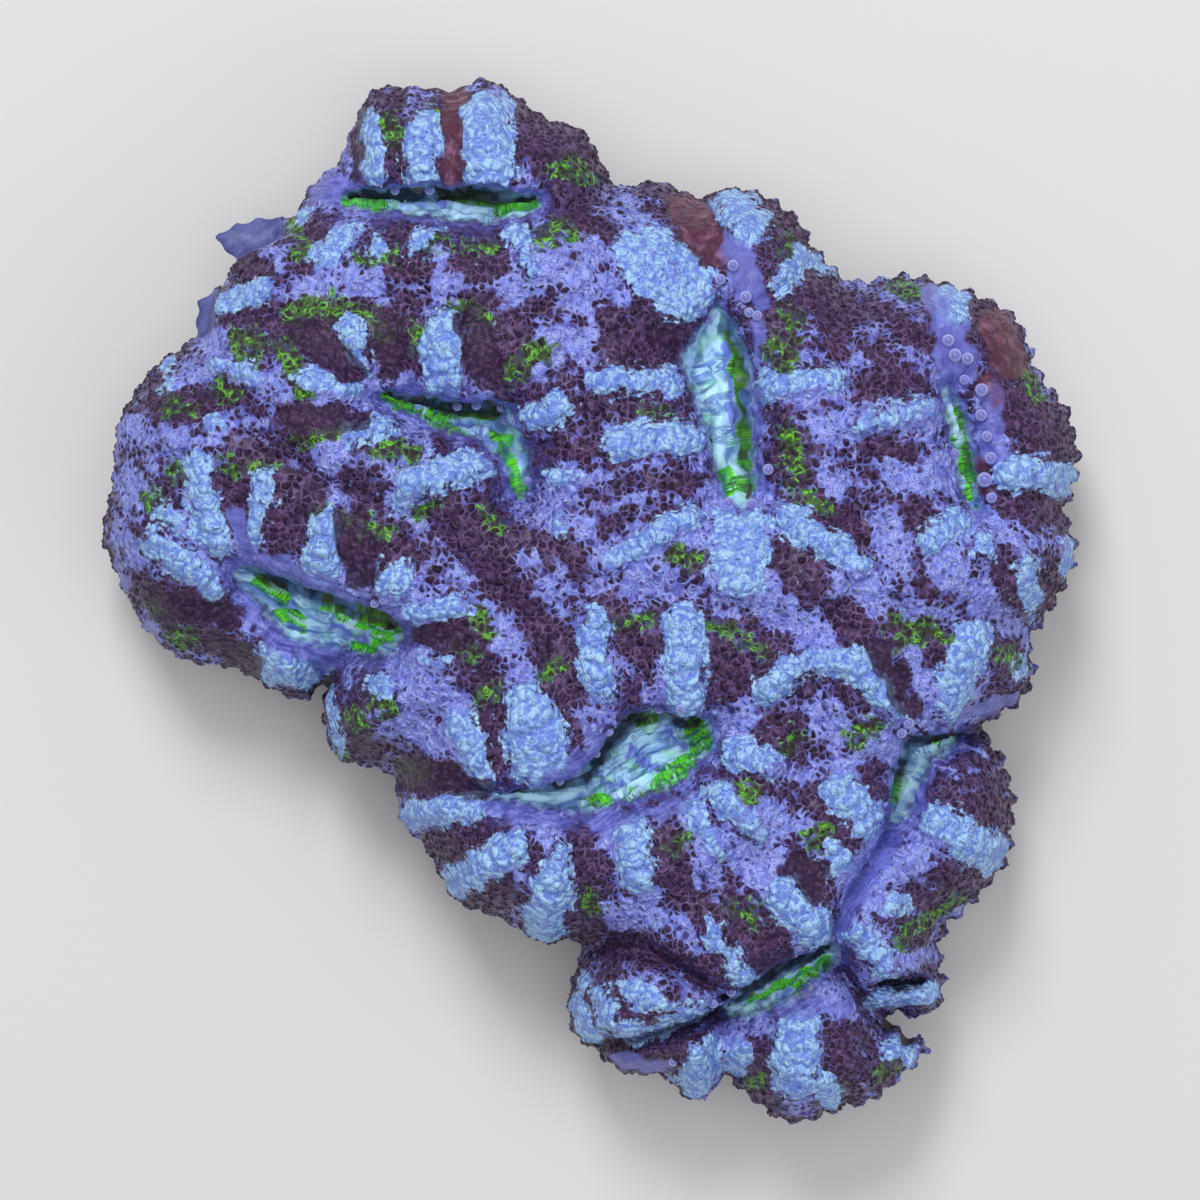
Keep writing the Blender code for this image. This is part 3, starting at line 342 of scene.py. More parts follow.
# Green inside the mouths.
NEON = [
    (-21.4, 35.6, -18.6, 34.7, 0.8), (-11.6, 36, -8.6, 35.4, 0.6), (-13.2, 35.9, -11.4, 35.7, 0.5),
    (-8, 34.6, -5.4, 35.2, 0.6), (-18.3, 17.7, -14.4, 15.9, 0.7), (-14.4, 15.9, -10.7, 13.7, 0.7),
    (-13.4, 16.4, -8.6, 16.3, 0.5), (-8.2, 14.6, -7.4, 12.6, 0.8), (-6.8, 11.4, -6.2, 9.4, 0.6),
    (12.6, 22, 13.3, 17, 0.55), (13.3, 17, 13.6, 12, 0.5), (12, 23.6, 12.5, 22.6, 0.5),
    (11.8, 10.6, 13.8, 9.9, 0.8), (32.4, 16.4, 33.6, 9, 0.5), (-29.6, 1.8, -27.6, 0.6, 0.8),
    (-27.6, -1.1, -25.8, -2, 0.7), (-23.6, -0.1, -22.2, -1.2, 0.8), (-19.8, -1.4, -18.2, -2.2, 1.3),
    (-21.2, -4.8, -19, -3.6, 0.7), (9.2, -10.6, 9.6, -13, 1), (8.6, -14.2, 6.6, -16.2, 0.9),
    (5.6, -16.8, 3.2, -17.8, 0.6), (2.8, -10, 5.2, -10.2, 0.7), (0.4, -13, 1.6, -11.4, 0.4),
    (-1, -17.6, 2, -18, 0.4), (29, -11.8, 31, -12.4, 0.4), (27.6, -14.6, 27, -18, 0.35),
    (14.3, -35.8, 16.8, -34.6, 0.5), (16.8, -34.6, 20.8, -32.6, 0.75),
]
# Smooth red patches.
RED = [
    (-12.4, 45.7, -12.2, 37.7, 1), (8.3, 35, 10, 32, 1.7), (10, 32, 11, 30.2, 1), (36, 24.4, 37.4, 21.4, 1.8),
    (34.4, 12, 34.8, 10, 0.8), (34.8, 19.4, 36, 18.4, 0.9),
]
# Smooth purple skin without bubbles.
SMOOTH_PURPLE = [
    (-26, 37.6, -22.6, 36.4, 1.4), (-6.4, 37, -4.4, 36.2, 0.9), (-28.4, 4.2, -22, 1.4, 1.3),
    (30.2, 27.4, 31.4, 19.6, 1.1), (-16.8, 19.4, -8.4, 18, 0.7), (-4.4, -15.2, 0.6, -11.6, 0.8),
    (0.4, -19.6, 7.6, -18, 0.8), (26.8, -20.6, 22.2, -27.6, 0.8), (29.6, -13.8, 28.6, -18, 1),
    (-9, -18.2, -2, -19.6, 0.7), (13.2, -35, 20.4, -30.4, 0.5), (12.4, 31, 14.2, 27.6, 1.3),
    (15.1, 27, 15.4, 21.4, 0.5), (14.8, 18.6, 15.4, 9.6, 0.55), (31.6, 23.4, 33, 20.6, 1.4),
    (35.7, 18.4, 35.7, 13, 1.1), (33, -9.8, 37.4, -9.2, 0.9), (-31, 1.5, -29.8, -1.2, 1),
    (-28.4, -3, -23.2, -5.3, 1.3), (17, -35.9, 22.4, -36, 0.8), (2, -41, 6, -41.8, 0.9),
    (-42.9, 2.8, -42, 1.2, 0.7), (-40.2, -2.4, -39.2, -4, 0.7), (-42.7, 16, -43, 12, 0.5),
    (-31, 8, -30.2, 5, 0.8), (-22.4, 41, -24.8, 37, 0.8),
]
# Round tentacle tips: x, y and how many times the usual radius.
TIPS = [
    (-17.5, 36.4, 0.9), (-14.4, 36.4, 1), (-11.9, 17.1, 0.9), (-10.2, 17.2, 1), (-8, 17, 0.9),
    (-7.6, 15.9, 1), (-5.6, 10.4, 0.9), (-19, -0.3, 0.9), (-18.2, 0, 0.9), (12.4, 29.4, 1.1),
    (11.3, 28.2, 1.1), (13.5, 26.6, 1.2), (10.2, 24.7, 1.1), (13.8, 25.2, 1), (14.5, 24.9, 1),
    (15.4, 11.4, 1.1), (12, 8.5, 1.1), (14, 8.4, 1.1), (31.3, 22.8, 1.2), (31.9, 21.5, 1.3), (33, 21.2, 1.2),
    (34.3, 18.5, 1.3), (34.3, 16.3, 1.2), (34.8, 14.4, 1.1), (35.1, 12.5, 1.2), (32, 12.9, 1.1),
    (34.6, 10.6, 1.5), (35.2, 9, 1.1), (32.8, 19.4, 1), (5.9, -9.6, 0.9), (7.7, -9.5, 0.9), (1.5, -11.5, 0.9),
    (0.4, -13.5, 0.8), (-2.8, -15.9, 0.8), (27.8, -10.8, 1.1), (27.2, -11.7, 1), (22, -31.3, 0.9),
    (12.3, -34.6, 1), (10.7, -35.6, 0.9), (7.2, -41, 0.9),
]
LEANS, LIP_WIDTHS, DEEPS = (np.array([mouth[part] for mouth in MOUTHS.values()], dtype=float)
                            for part in (1, 2, 3))


# ---------------------------------------------------------------- fields over the plan
def smoothstep(low, high, value):
    t = np.clip((value - low) / (high - low), 0.0, 1.0)
    return t * t * (3.0 - 2.0 * t)


def quarter_round(value):
    """Rises from 0 to 1 along a quarter of a circle, as the value does."""
    share = np.clip(value, 0.0, 1.0)
    return np.sqrt(np.clip(1.0 - (1.0 - share) ** 2, 0.0, 1.0))


def wave(points, directions):
    """Smooth pseudo-noise between about -1 and 1: a few sine waves across the plan."""
    total = np.zeros(len(points))
    for dx, dy, phase in directions:
        total += np.sin(points[:, 0] * dx + points[:, 1] * dy + phase)
    return total / len(directions)


def waves(points, sets):
    return np.column_stack([wave(points, directions) for directions in sets])


def wave_around(points, terms):
    """Sine waves that run around the colony's centre."""
    angle = np.arctan2(points[:, 1], points[:, 0])
    return sum(share * np.sin(count * angle + phase) for count, share, phase in terms)


def closed_spline(points, steps):
    """A closed Catmull-Rom curve through the points."""
    named = np.array(points, dtype=float)
    before, after, beyond = np.roll(named, 1, 0), np.roll(named, -1, 0), np.roll(named, -2, 0)
    t = (np.arange(steps) / steps)[None, :, None]
    a, b, c, d = (p[:, None, :] for p in (before, named, after, beyond))
    curve = 0.5 * (2 * b + (c - a) * t + (2 * a - 5 * b + 4 * c - d) * t**2
                   + (3 * b - a - 3 * c + d) * t**3)
    return curve.reshape(-1, 2)


def edge_loop():
    """The edge curve, pushed in and out into small even teeth."""
    loop = closed_spline(EDGE, SPAN_STEPS)
    ahead = np.roll(loop, -1, 0)
    lengths = np.linalg.norm(ahead - loop, axis=1)
    along = np.concatenate([[0.0], np.cumsum(lengths)[:-1]])
    teeth = round(lengths.sum() / TOOTH_PITCH)
    phase = 2.0 * math.pi * teeth * along / lengths.sum()
    tangent = ahead - np.roll(loop, 1, 0)
    tangent /= np.linalg.norm(tangent, axis=1)[:, None]
    outward = np.stack([-tangent[:, 1], tangent[:, 0]], axis=1)
    height = TOOTH_HEIGHT * (LOW_TEETH + (1.0 - LOW_TEETH) * smoothstep(0.0, TOOTHY_SIDE, loop[:, 0]))
    push = height * (TOOTH_OUTSIDE - np.abs(np.sin(phase / 2.0)))
    return loop + outward * push[:, None]


def nearest_on_path(points, path, closed=False):
    """Distance to a path, the nearest point on it, and the share of its length run by then."""
    path = np.array(path, dtype=float)
    ends = np.roll(path, -1, 0) if closed else path[1:]
    starts = path if closed else path[:-1]
    lengths = np.linalg.norm(ends - starts, axis=1)
    run = np.concatenate([[0.0], np.cumsum(lengths)])
    best = np.full(len(points), np.inf)
    index = np.zeros(len(points), dtype=int)
    along = np.zeros(len(points))
    for number, (start, end) in enumerate(zip(starts, ends)):
        step = end - start
        t = np.clip((points - start) @ step / max(step @ step, 1e-12), 0.0, 1.0)
        gap_x = points[:, 0] - start[0] - t * step[0]
        gap_y = points[:, 1] - start[1] - t * step[1]
        distance = gap_x * gap_x + gap_y * gap_y
        closer = distance < best
        best[closer] = distance[closer]
        index[closer] = number
        along[closer] = t[closer]
    foot = starts[index] + along[:, None] * (ends - starts)[index]
    share = (run[index] + along * lengths[index]) / run[-1]
    return np.sqrt(best), foot, share


def near_stroke(points, stroke, reach):
    """Which points a straight stroke may reach, their distance to it and share of its length."""
    ends = np.array(stroke[:4], dtype=float).reshape(2, 2)
    low, high = ends.min(axis=0) - reach, ends.max(axis=0) + reach
    near = np.nonzero(((points > low) & (points < high)).all(axis=1))[0]
    distance, _foot, share = nearest_on_path(points[near], ends)
    return near, distance, share


def strokes(points, lines, softness=1.2):
    """A field that is 1 well inside the strokes, one half on their edges and 0 outside."""
    field = np.zeros(len(points))
    for stroke in lines:
        near, distance, _share = near_stroke(points, stroke, stroke[4] + softness)
        value = np.clip(0.5 + (stroke[4] - distance) / softness, 0.0, 1.0)
        field[near] = np.maximum(field[near], value)
    return field


def band_relief(points):
    """Swollen bands with rolls across them: the rise, and how deep in a crease each point is."""
    relief, creased = np.zeros(len(points)), np.zeros(len(points))
    sway = BAND_SWAY * wave(points, ROLL_WAVES)
    for band in PALE:
        half_width, length = band[4], math.dist(band[:2], band[2:4])
        near, distance, share = near_stroke(points, band, 1.4 * half_width)
        swell = smoothstep(1.35 * half_width, 0.35 * half_width, distance)
        phase = 2.0 * math.pi * share * length / BAND_ROLL_PITCH + sway[near]
        rise = min(1.0, half_width / 1.2) * (BAND_RISE + BAND_ROLL * np.cos(phase))
        relief[near] = np.maximum(relief[near], swell * rise)
        creased[near] = np.maximum(creased[near], swell * (0.5 - 0.5 * np.cos(phase)))
    return relief, creased


def rib_count(points, loop):
    """How many ribs lie before each point, counted along a rounder copy of the edge curve."""
    for _pass in range(RIB_PATH_PASSES):
        loop = (np.roll(loop, 1, 0) + 2.0 * loop + np.roll(loop, -1, 0)) / 4.0
    length = np.linalg.norm(np.roll(loop, -1, 0) - loop, axis=1).sum()
    return nearest_on_path(points, loop, closed=True)[2] * round(length / RIB_PITCH)


def inside_loop(points, loop):
    inside = np.zeros(len(points), dtype=bool)
    x, y = points[:, 0], points[:, 1]
    for (x0, y0), (x1, y1) in zip(loop, np.roll(loop, -1, 0)):
        crosses = (y0 > y) != (y1 > y)
        level = y1 - y0 if y1 != y0 else 1e-12
        inside ^= crosses & (x < (x1 - x0) * (y - y0) / level + x0)
    return inside


def mouth_fields(points):
    """For each polyp and point: distance to its lip (negative inside), half width of its slit, the
    slit's nearest point as x and y, the run along it, and the distance to a lip without waves."""
    rows = []
    wobble = LIP_WOBBLE * wave(points, LIP_WAVES)
    for path, _lean, _lip_width, _deep in MOUTHS.values():
        named = np.array(path, dtype=float)
        distance, foot, share = nearest_on_path(points, named[:, :2])
        leaps = np.diff(named[:, :2], axis=0)
        steps = np.linalg.norm(leaps, axis=1)
        run = np.concatenate([[0.0], np.cumsum(steps)])
        width = np.interp(share * run[-1], run, named[:, 2])
        before = np.where(share <= 0.0, (points - foot) @ (leaps[0] / steps[0]), 0.0)
        beyond = np.where(share >= 1.0, (points - foot) @ (leaps[-1] / steps[-1]), 0.0)
        along = share * run[-1] + before + beyond
        rows.append(np.column_stack([distance - width + wobble, width, foot, along, distance - width]))
    return np.array(rows)


def crease_depth(points):
    """How far the creases between folds sink the surface."""
    crease = np.zeros(len(points))
    for path, fall, half_width in CREASES:
        distance = nearest_on_path(points, path)[0]
        crease = np.maximum(crease, fall * np.exp(-((distance / half_width) ** 2)))
    return crease


def margin_height(points):
    """Height of the tissue's edge, which rises and falls along the colony."""
    outer = smoothstep(MARGIN_CALM, MARGIN_WAVY, np.linalg.norm(points, axis=1))
    return MARGIN_HEIGHT + 0.5 * MARGIN_WAVE * wave_around(points, MARGIN_WAVES) * outer


def top_surface(points, depth, fields):
    """Height of the live surface, from the plan position and the distance inside the edge."""
    wall = quarter_round(depth / WALL_RADIUS)
    radius = np.linalg.norm(points, axis=1)
    dome = DOME_RISE * np.clip(1.0 - (radius / DOME_RADIUS) ** 2, 0.0, 1.0)
    lip, next_lip = np.sort(fields[:, :, 0], axis=0)[:2]
    width = fields[fields[:, :, 0].argmin(axis=0), np.arange(len(points)), 1]
    cushion = CUSHION_RISE * (1.0 - np.exp(-np.maximum(lip, 0.0) / CUSHION_REACH))
    bowl = quarter_round(-lip / np.maximum(width, 0.1))
    mouth = MOUTH_DEPTH * bowl * np.clip(width, NARROW_MOUTH, WIDE_MOUTH) / WIDE_MOUTH
    apart = (next_lip - lip) / VALLEY_WIDTH
    valley = VALLEY_DEPTH * np.exp(-(apart**2)) * smoothstep(2.0, 6.0, lip)
    flat = strokes(points, FLAPS, FLAP_SOFTNESS)
    patch = PATCH_FALL * smoothstep(0.2, 0.9, strokes(points, SMOOTH_MAROON))
    ridge = RIDGE_RISE * strokes(points, RIDGES, RIDGE_SOFTNESS) * smoothstep(0.1, -0.4, lip)
    relief = cushion - mouth - valley - crease_depth(points) - patch + band_relief(points)[0] + ridge
    height = wall * (WALL_RISE + dome) + np.minimum(wall * 1.4, 1.0) * relief
    return margin_height(points) + height * (1.0 - flat) + FLAP_RISE * wall * flat


def under_surface(points, depth, count):
    """Rolled tissue edge, then the ribbed skeleton narrowing down to the base."""
    start = margin_height(points) - LIP_THICKNESS * quarter_round(depth / LIP_THICKNESS)
    inset = BASE_INSET + BASE_WANDER * wave_around(points, BASE_WAVES)
    ribs = RIB_HEIGHT * np.cos(2.0 * math.pi * count) * smoothstep(LIP_THICKNESS, 3.0, depth)
    fall = np.clip((depth + ribs - LIP_THICKNESS) / (inset - LIP_THICKNESS), 0.0, None)
    return np.maximum(start - start * fall**1.5, -BASE_SINK)


def lean_over_mouths(points, fields):
    """Sideways shift that leans the lips on the far side out over their mouths."""
    shift = np.zeros_like(points)
    nearest = fields[:, :, 0].argmin(axis=0)
    for index, lean in enumerate(LEANS):
        mine = nearest == index
        lip = fields[index, mine, 0]
        outward = points[mine] - fields[index, mine, 2:4]
        outward /= np.maximum(np.linalg.norm(outward, axis=1), 1e-9)[:, None]
        facing = np.clip(-(outward @ lean), 0.0, 1.0)
        bulge = smoothstep(-0.4, 1.3, lip) * (1.0 - smoothstep(2.6, 7.0, lip))
        shift[mine] = -outward * (facing * bulge * LIP_SHIFT)[:, None]
    return shift


# ---------------------------------------------------------------- the form as arrays
def plan_grid(loop, step):
    """Points and quads of the grid cells inside the edge curve, and which points lie on their rim."""
    low, high = loop.min(axis=0), loop.max(axis=0)
    columns = int((high[0] - low[0]) / step) + 3
    rows = int((high[1] - low[1]) / step) + 3
    xs = low[0] - step + step * np.arange(columns)
    ys = low[1] - step + step * np.arange(rows)
    centres = np.stack(np.meshgrid(xs[:-1] + step / 2, ys[:-1] + step / 2), axis=-1)
    kept = inside_loop(centres.reshape(-1, 2), loop).reshape(rows - 1, columns - 1)
    corners = np.arange(rows * columns).reshape(rows, columns)
    row, column = np.nonzero(kept)
    quads = np.stack([corners[row, column], corners[row, column + 1],
                      corners[row + 1, column + 1], corners[row + 1, column]], axis=1)
    used, quads = np.unique(quads, return_inverse=True)
    quads = quads.reshape(-1, 4)
    plan = np.stack(np.meshgrid(xs, ys), axis=-1).reshape(-1, 2)[used]
    sides = np.concatenate([quads[:, [k, (k + 1) % 4]] for k in range(4)])
    _unique, first, count = np.unique(np.sort(sides, axis=1), axis=0,
                                      return_index=True, return_counts=True)
    rim = np.zeros(len(plan), dtype=bool)
    rim[sides[first[count == 1]]] = True
    return plan, quads, rim


def form_arrays(step, top_drop=0.0, edge_drop=0.0):
    """The closed form: points, quads, each point's plan position with its depth inside the edge, and
    its side, which is 1 on top and 0 below."""
    loop = edge_loop()
    plan, quads, rim = plan_grid(loop, step)
    depth, foot, _share = nearest_on_path(plan, loop, closed=True)
    depth = np.where(inside_loop(plan, loop) & ~rim, depth, 0.0)
    crowd = np.clip(depth / STEEP_ZONE, 0.0, 1.0)
    packed = np.where(depth < STEEP_ZONE, STEEP_ZONE * crowd**2 * (2.0 - crowd), depth)
    pull = packed / np.maximum(depth, 1e-9)
    plan = np.where((depth < STEEP_ZONE)[:, None], foot + (plan - foot) * pull[:, None], plan)
    fields = mouth_fields(plan)
    top = top_surface(plan, packed, fields)
    under = under_surface(plan, packed, rib_count(plan, loop))
    leaned = plan + lean_over_mouths(plan, fields) * smoothstep(1.0, 4.0, packed)[:, None]
    lower = np.minimum(under, top - THINNEST)
    lowered = top - top_drop * np.clip(packed / CORE_DROP, 0.0, 1.0)
    top = np.maximum(lowered, lower + THINNEST_CORE)
    top[rim] = margin_height(plan[rim]) - edge_drop
    lower_index = np.arange(len(plan))
    lower_index[~rim] = len(plan) + np.arange((~rim).sum())
    points = np.concatenate([np.column_stack([leaned, top]), np.column_stack([plan, lower])[~rim]])
    faces = np.concatenate([quads, lower_index[quads[:, ::-1]][~rim[quads].all(axis=1)]])
    known = np.column_stack([plan, packed])
    side = np.arange(len(points)) < len(plan)
    return points, faces, np.concatenate([known, known[~rim]]), side.astype(float)


# ---------------------------------------------------------------- meshes and objects
def place(name, data):
    """A new object in the scene that shows the data."""
    obj = bpy.data.objects.new(name, data)
    bpy.context.scene.collection.objects.link(obj)
    return obj


def mesh_object(name, points, faces):
    mesh = bpy.data.meshes.new(name)
    mesh.from_pydata((points * MM).tolist(), [], faces.tolist())
    mesh.update()
    return place(name, mesh)


def read(items, key, width=1, kind=np.float32):
    """What a collection of a mesh holds, as an array."""
    values = np.empty(len(items) * width, dtype=kind)
    items.foreach_get(key, values)
    return values.reshape(-1, width) if width > 1 else values


def vertex_positions(mesh):
    return read(mesh.vertices, "co", 3).astype(float)


def vertex_normals(mesh):
    return read(mesh.vertex_normals, "vector", 3).astype(float)


def floats(values):
    return np.ascontiguousarray(values, dtype=np.float32).ravel()


def set_positions(mesh, positions):
    mesh.vertices.foreach_set("co", floats(positions))
    mesh.update()


def set_attribute(mesh, name, values):
    kind, key = ("FLOAT_VECTOR", "vector") if values.ndim == 2 else ("FLOAT", "value")
    mesh.attributes.new(name, kind, "POINT").data.foreach_set(key, floats(values))


def add_modifier(obj, kind, **settings):
    modifier = obj.modifiers.new(kind.lower(), kind)
    for key, value in settings.items():
        setattr(modifier, key, value)


def evaluated_copy(obj, name):
    """The object's mesh with its modifiers applied, as a new mesh."""
    graph = bpy.context.evaluated_depsgraph_get()
    mesh = bpy.data.meshes.new_from_object(obj.evaluated_get(graph), depsgraph=graph)
    mesh.name = name
    return mesh


def dress(mesh, material):
    mesh.shade_smooth()
    mesh.materials.append(material)


# ---------------------------------------------------------------- nodes
class Graph:
    """Short ways to add nodes to a tree and to link them."""

    def __init__(self, tree):
        self.tree = tree

    def plug(self, socket, value):
        if isinstance(value, bpy.types.NodeSocket):
            self.tree.links.new(value, socket)
        else:
            socket.default_value = value

    def node(self, kind, inputs=(), **settings):
        """A node with its settings made, and its inputs filled in by name or by number."""
        made = self.tree.nodes.new(kind)
        for key, value in settings.items():
            setattr(made, key, value)
        for socket, value in dict(inputs).items():
            self.plug(made.inputs[socket], value)
        return made

    def math(self, operation, *values):
        return self.node("ShaderNodeMath", enumerate(values), operation=operation).outputs[0]

    def times(self, *values):
        return reduce(partial(self.math, "MULTIPLY"), values)

    def plus(self, *values):
        return reduce(partial(self.math, "ADD"), values)

    def ramp(self, value, low, high, start=0.0, end=1.0):
        """Goes smoothly from start to end while the value goes from low to high."""
        inputs = {"Value": value, "From Min": low, "From Max": high, "To Min": start, "To Max": end}
        return self.node("ShaderNodeMapRange", inputs, interpolation_type="SMOOTHSTEP").outputs["Result"]

    def cells(self, vector, size, feature="F1"):
        inputs = {"Vector": vector, "Scale": 1.0 / size, "Randomness": RANDOMNESS}
        return self.node("ShaderNodeTexVoronoi", inputs, feature=feature).outputs

    def stored(self, name, kind="FLOAT"):
        """A mesh attribute, in a geometry node tree."""
        inputs = {"Name": name}
        return self.node("GeometryNodeInputNamedAttribute", inputs, data_type=kind).outputs["Attribute"]


def geometry_graph(name):
    """A geometry node tree, with the socket its geometry comes from and the one it goes to."""
    tree = bpy.data.node_groups.new(name, "GeometryNodeTree")
    for side in ("INPUT", "OUTPUT"):
        tree.interface.new_socket("Geometry", in_out=side, socket_type="NodeSocketGeometry")
    graph = Graph(tree)
    return graph, graph.node("NodeGroupInput").outputs[0], graph.node("NodeGroupOutput").inputs[0]


def carry_plan_group(guide):
    """Geometry nodes that copy the plan position and side from the nearest point of the guide."""
    graph, flow, result = geometry_graph("carry_plan")
    form = graph.node("GeometryNodeObjectInfo", {"Object": guide}).outputs["Geometry"]
    for name, kind in (("plan", "FLOAT_VECTOR"), ("side", "FLOAT")):
        sample = graph.node("GeometryNodeSampleNearestSurface",
                            {"Mesh": form, "Value": graph.stored(name, kind)}, data_type=kind)
        store = graph.node("GeometryNodeStoreNamedAttribute",
                           {"Name": name, "Geometry": flow, "Value": sample.outputs["Value"]},
                           data_type=kind, domain="POINT")
        flow = store.outputs["Geometry"]
    graph.plug(result, flow)
    return graph.tree


def bubble_group():
    """Geometry nodes that raise the skin's small vesicles and the coarse ones of the pale bands."""
    graph, flow, result = geometry_graph("raise_bubbles")
    pushes = []
    for size, height, mask in ((VESICLE, VESICLE_HEIGHT, "net"), (LUMP, LUMP_HEIGHT, "lump")):
        away = graph.cells(graph.stored("skin", "FLOAT_VECTOR"), size)["Distance"]
        dome = graph.ramp(away, BUBBLE_REACH, BUBBLE_TOP)
        pushes.append(graph.times(dome, height * MM, graph.stored(mask)))
    normal = graph.node("GeometryNodeInputNormal").outputs[0]
    push = graph.node("ShaderNodeVectorMath", {0: normal, "Scale": graph.plus(*pushes)}, operation="SCALE")
    moved = graph.node("GeometryNodeSetPosition", {"Geometry": flow, "Offset": push.outputs[0]})
    graph.plug(result, moved.outputs[0])
    return graph.tree


# ---------------------------------------------------------------- the live tissue's mesh
# The strokes that each colour field is drawn with, and how softly their edges fall off.
DRAWN_FIELDS = {
    "pale": (PALE, 1.6), "maroon": (MAROON, 1.8), "lilac": (LILAC_NET, 1.8), "green": (GREEN, 1.7),
    "bare": (SMOOTH_MAROON + RED, 1.2), "red": (RED, 1.6), "smooth": (SMOOTH_PURPLE, 1.2),
    "thin": (FLAPS, FLAP_SOFTNESS), "neon": (NEON, 0.5), "ridge": (RIDGES, 0.4),
}


def skin_fields(mesh, known):
    """Every colour field of the live tissue, the relief that is finer than the form, and the number
    of the polyp that each point belongs to."""
    plan, depth = np.ascontiguousarray(known[:, :2]), known[:, 2]
    mouths = mouth_fields(plan)
    owner = mouths[:, :, 0].argmin(axis=0)
    mine = mouths[owner, np.arange(len(plan))]
    lip, foot, run, calm_lip = mine[:, 0], mine[:, 2:4], mine[:, 4], mine[:, 5]
    outward = (plan - foot) / np.maximum(np.linalg.norm(plan - foot, axis=1), 1e-9)[:, None]
    facing = -(outward * LEANS[owner]).sum(axis=1)
    across = ((plan - foot) * LEANS[owner]).sum(axis=1)
    mouth = smoothstep(0.4, -0.45, lip + 0.2 * wave(plan, RIM_WAVES))
    lip_band = np.clip(0.5 + (LIP_WIDTHS[owner] - lip) / 0.9, 0.0, 1.0) * (1.0 - mouth)
    surface = vertex_positions(mesh) / MM
    above = surface[:, 2] - margin_height(plan) + 0.9 * wave(surface, HEM_WAVES)
    high = smoothstep(0.5, 5.0, above)
    sunk = crease_depth(plan)
    folds = np.sin(2.0 * math.pi * across / FOLD_PITCH + 1.3 * np.sin(run * 0.9) + 0.8 * np.sin(run * 2.3))
    plan = plan + STROKE_DRIFT * waves(plan, DRIFT_WAVES)
    fields = {name: strokes(plan, *drawn) for name, drawn in DRAWN_FIELDS.items()}
    smooth = fields["smooth"] * (0.4 + 0.6 * high)
    smooth = np.maximum(smooth, lip_band * (0.55 + 0.45 * np.clip(facing, 0, 1)))
    pale = fields["pale"] * (1.0 - 0.9 * lip_band) * high
    lump = smoothstep(0.35, 0.8, pale) * (1.0 - mouth)
    calm = np.maximum.reduce([smoothstep(0.4, 0.8, smooth), 0.5 * fields["bare"], mouth, fields["thin"]])
    fields.update({
        "pale": pale,
        "maroon": np.maximum(fields["maroon"], fields["bare"]) * high,
        "lilac": fields["lilac"] * high,
        "green": fields["green"] * (0.35 + 0.65 * high),
        "smooth": np.maximum(smooth, fields["thin"]),
        "ridge": mouth * fields["ridge"],
        "mouth": mouth,
        "reach": smoothstep(1.0, 6.0, lip),
        # Painted shade on a mouth's floor next to the lip that leans over it.
        "shade": mouth * smoothstep(-2.1, -0.8, calm_lip) * smoothstep(0.15, 0.7, facing),
        "fringe": smoothstep(1.6, 0.2, above) * smoothstep(2.5, 1.0, depth),
        # Painted shade, dark in the deepest creases between folds.
        "sunk": smoothstep(2.2, 5.0, sunk),
        "crease": band_relief(plan)[1],
        "near": DEEPS[owner] * smoothstep(3.2, 0.8, lip),
        # How high each point stands on the floor's folds; the material paints shade in their valleys.
        "crest": 0.5 + 0.5 * folds,
        # How high the small vesicles stand, and the coarse ones.
        "net": (1.0 - 0.85 * calm) * (1.0 - 0.75 * lump),
        "lump": lump * (1.0 - calm),
        # Positions that the patterns are drawn in: on the skin, outward from a mouth, along its slit.
        "skin": surface + VESICLE_SWAY * waves(known, SWAY_WAVES),
        "radial": np.column_stack([foot + 3.0 * outward, 0.12 * lip]),
        "slit": np.column_stack([run, across, owner]),
    })
    relief = FOLD_HEIGHT * mouth * folds * smoothstep(0.0, 0.8, -lip)
    striae = np.sin(2.0 * math.pi * (lip + 0.12 * np.sin(run * 1.7)) / STRIA_PITCH)
    relief += STRIA_HEIGHT * striae * smooth * (1.0 - mouth) * smoothstep(3.0, 0.5, lip)
    relief += SWELL_HEIGHT * wave(plan, SWELL_WAVES) * (1.0 - mouth)
    return fields, relief, owner


def split_by_polyp(mesh, fields, owner, keep, material):
    """One object per polyp, with the whole skin's normals so that no seam shows."""
    positions, normals = vertex_positions(mesh), vertex_normals(mesh)
    quads = read(mesh.loops, "vertex_index", 4, np.int32)
    pieces = []
    for index, name in enumerate(MOUTHS):
        chosen = quads[(owner[quads[:, 0]] == index) & keep[quads].all(axis=1)]
        used, faces = np.unique(chosen, return_inverse=True)
        faces = faces.reshape(-1, 4).astype(np.int32)
        piece = bpy.data.meshes.new(f"polyp_{name}")
        piece.vertices.add(len(used))
        piece.vertices.foreach_set("co", floats(positions[used]))
        piece.loops.add(faces.size)
        piece.loops.foreach_set("vertex_index", faces.ravel())
        piece.polygons.add(len(faces))
        piece.polygons.foreach_set("loop_start", np.arange(0, faces.size, 4, dtype=np.int32))
        piece.update(calc_edges=True)
        dress(piece, material)
        for key, values in fields.items():
            set_attribute(piece, key, values[used])
        piece.normals_split_custom_set_from_vertices(normals[used].tolist())
        pieces.append(place(piece.name, piece))
    return pieces


# ---------------------------------------------------------------- colours
def linear(red, green, blue):
    """A screen colour from 0 to 255 as the linear value that shaders use."""
    def channel(value):
        value /= 255.0
        return value / 12.92 if value <= 0.04045 else ((value + 0.055) / 1.055) ** 2.4
    return (channel(red), channel(green), channel(blue), 1.0)


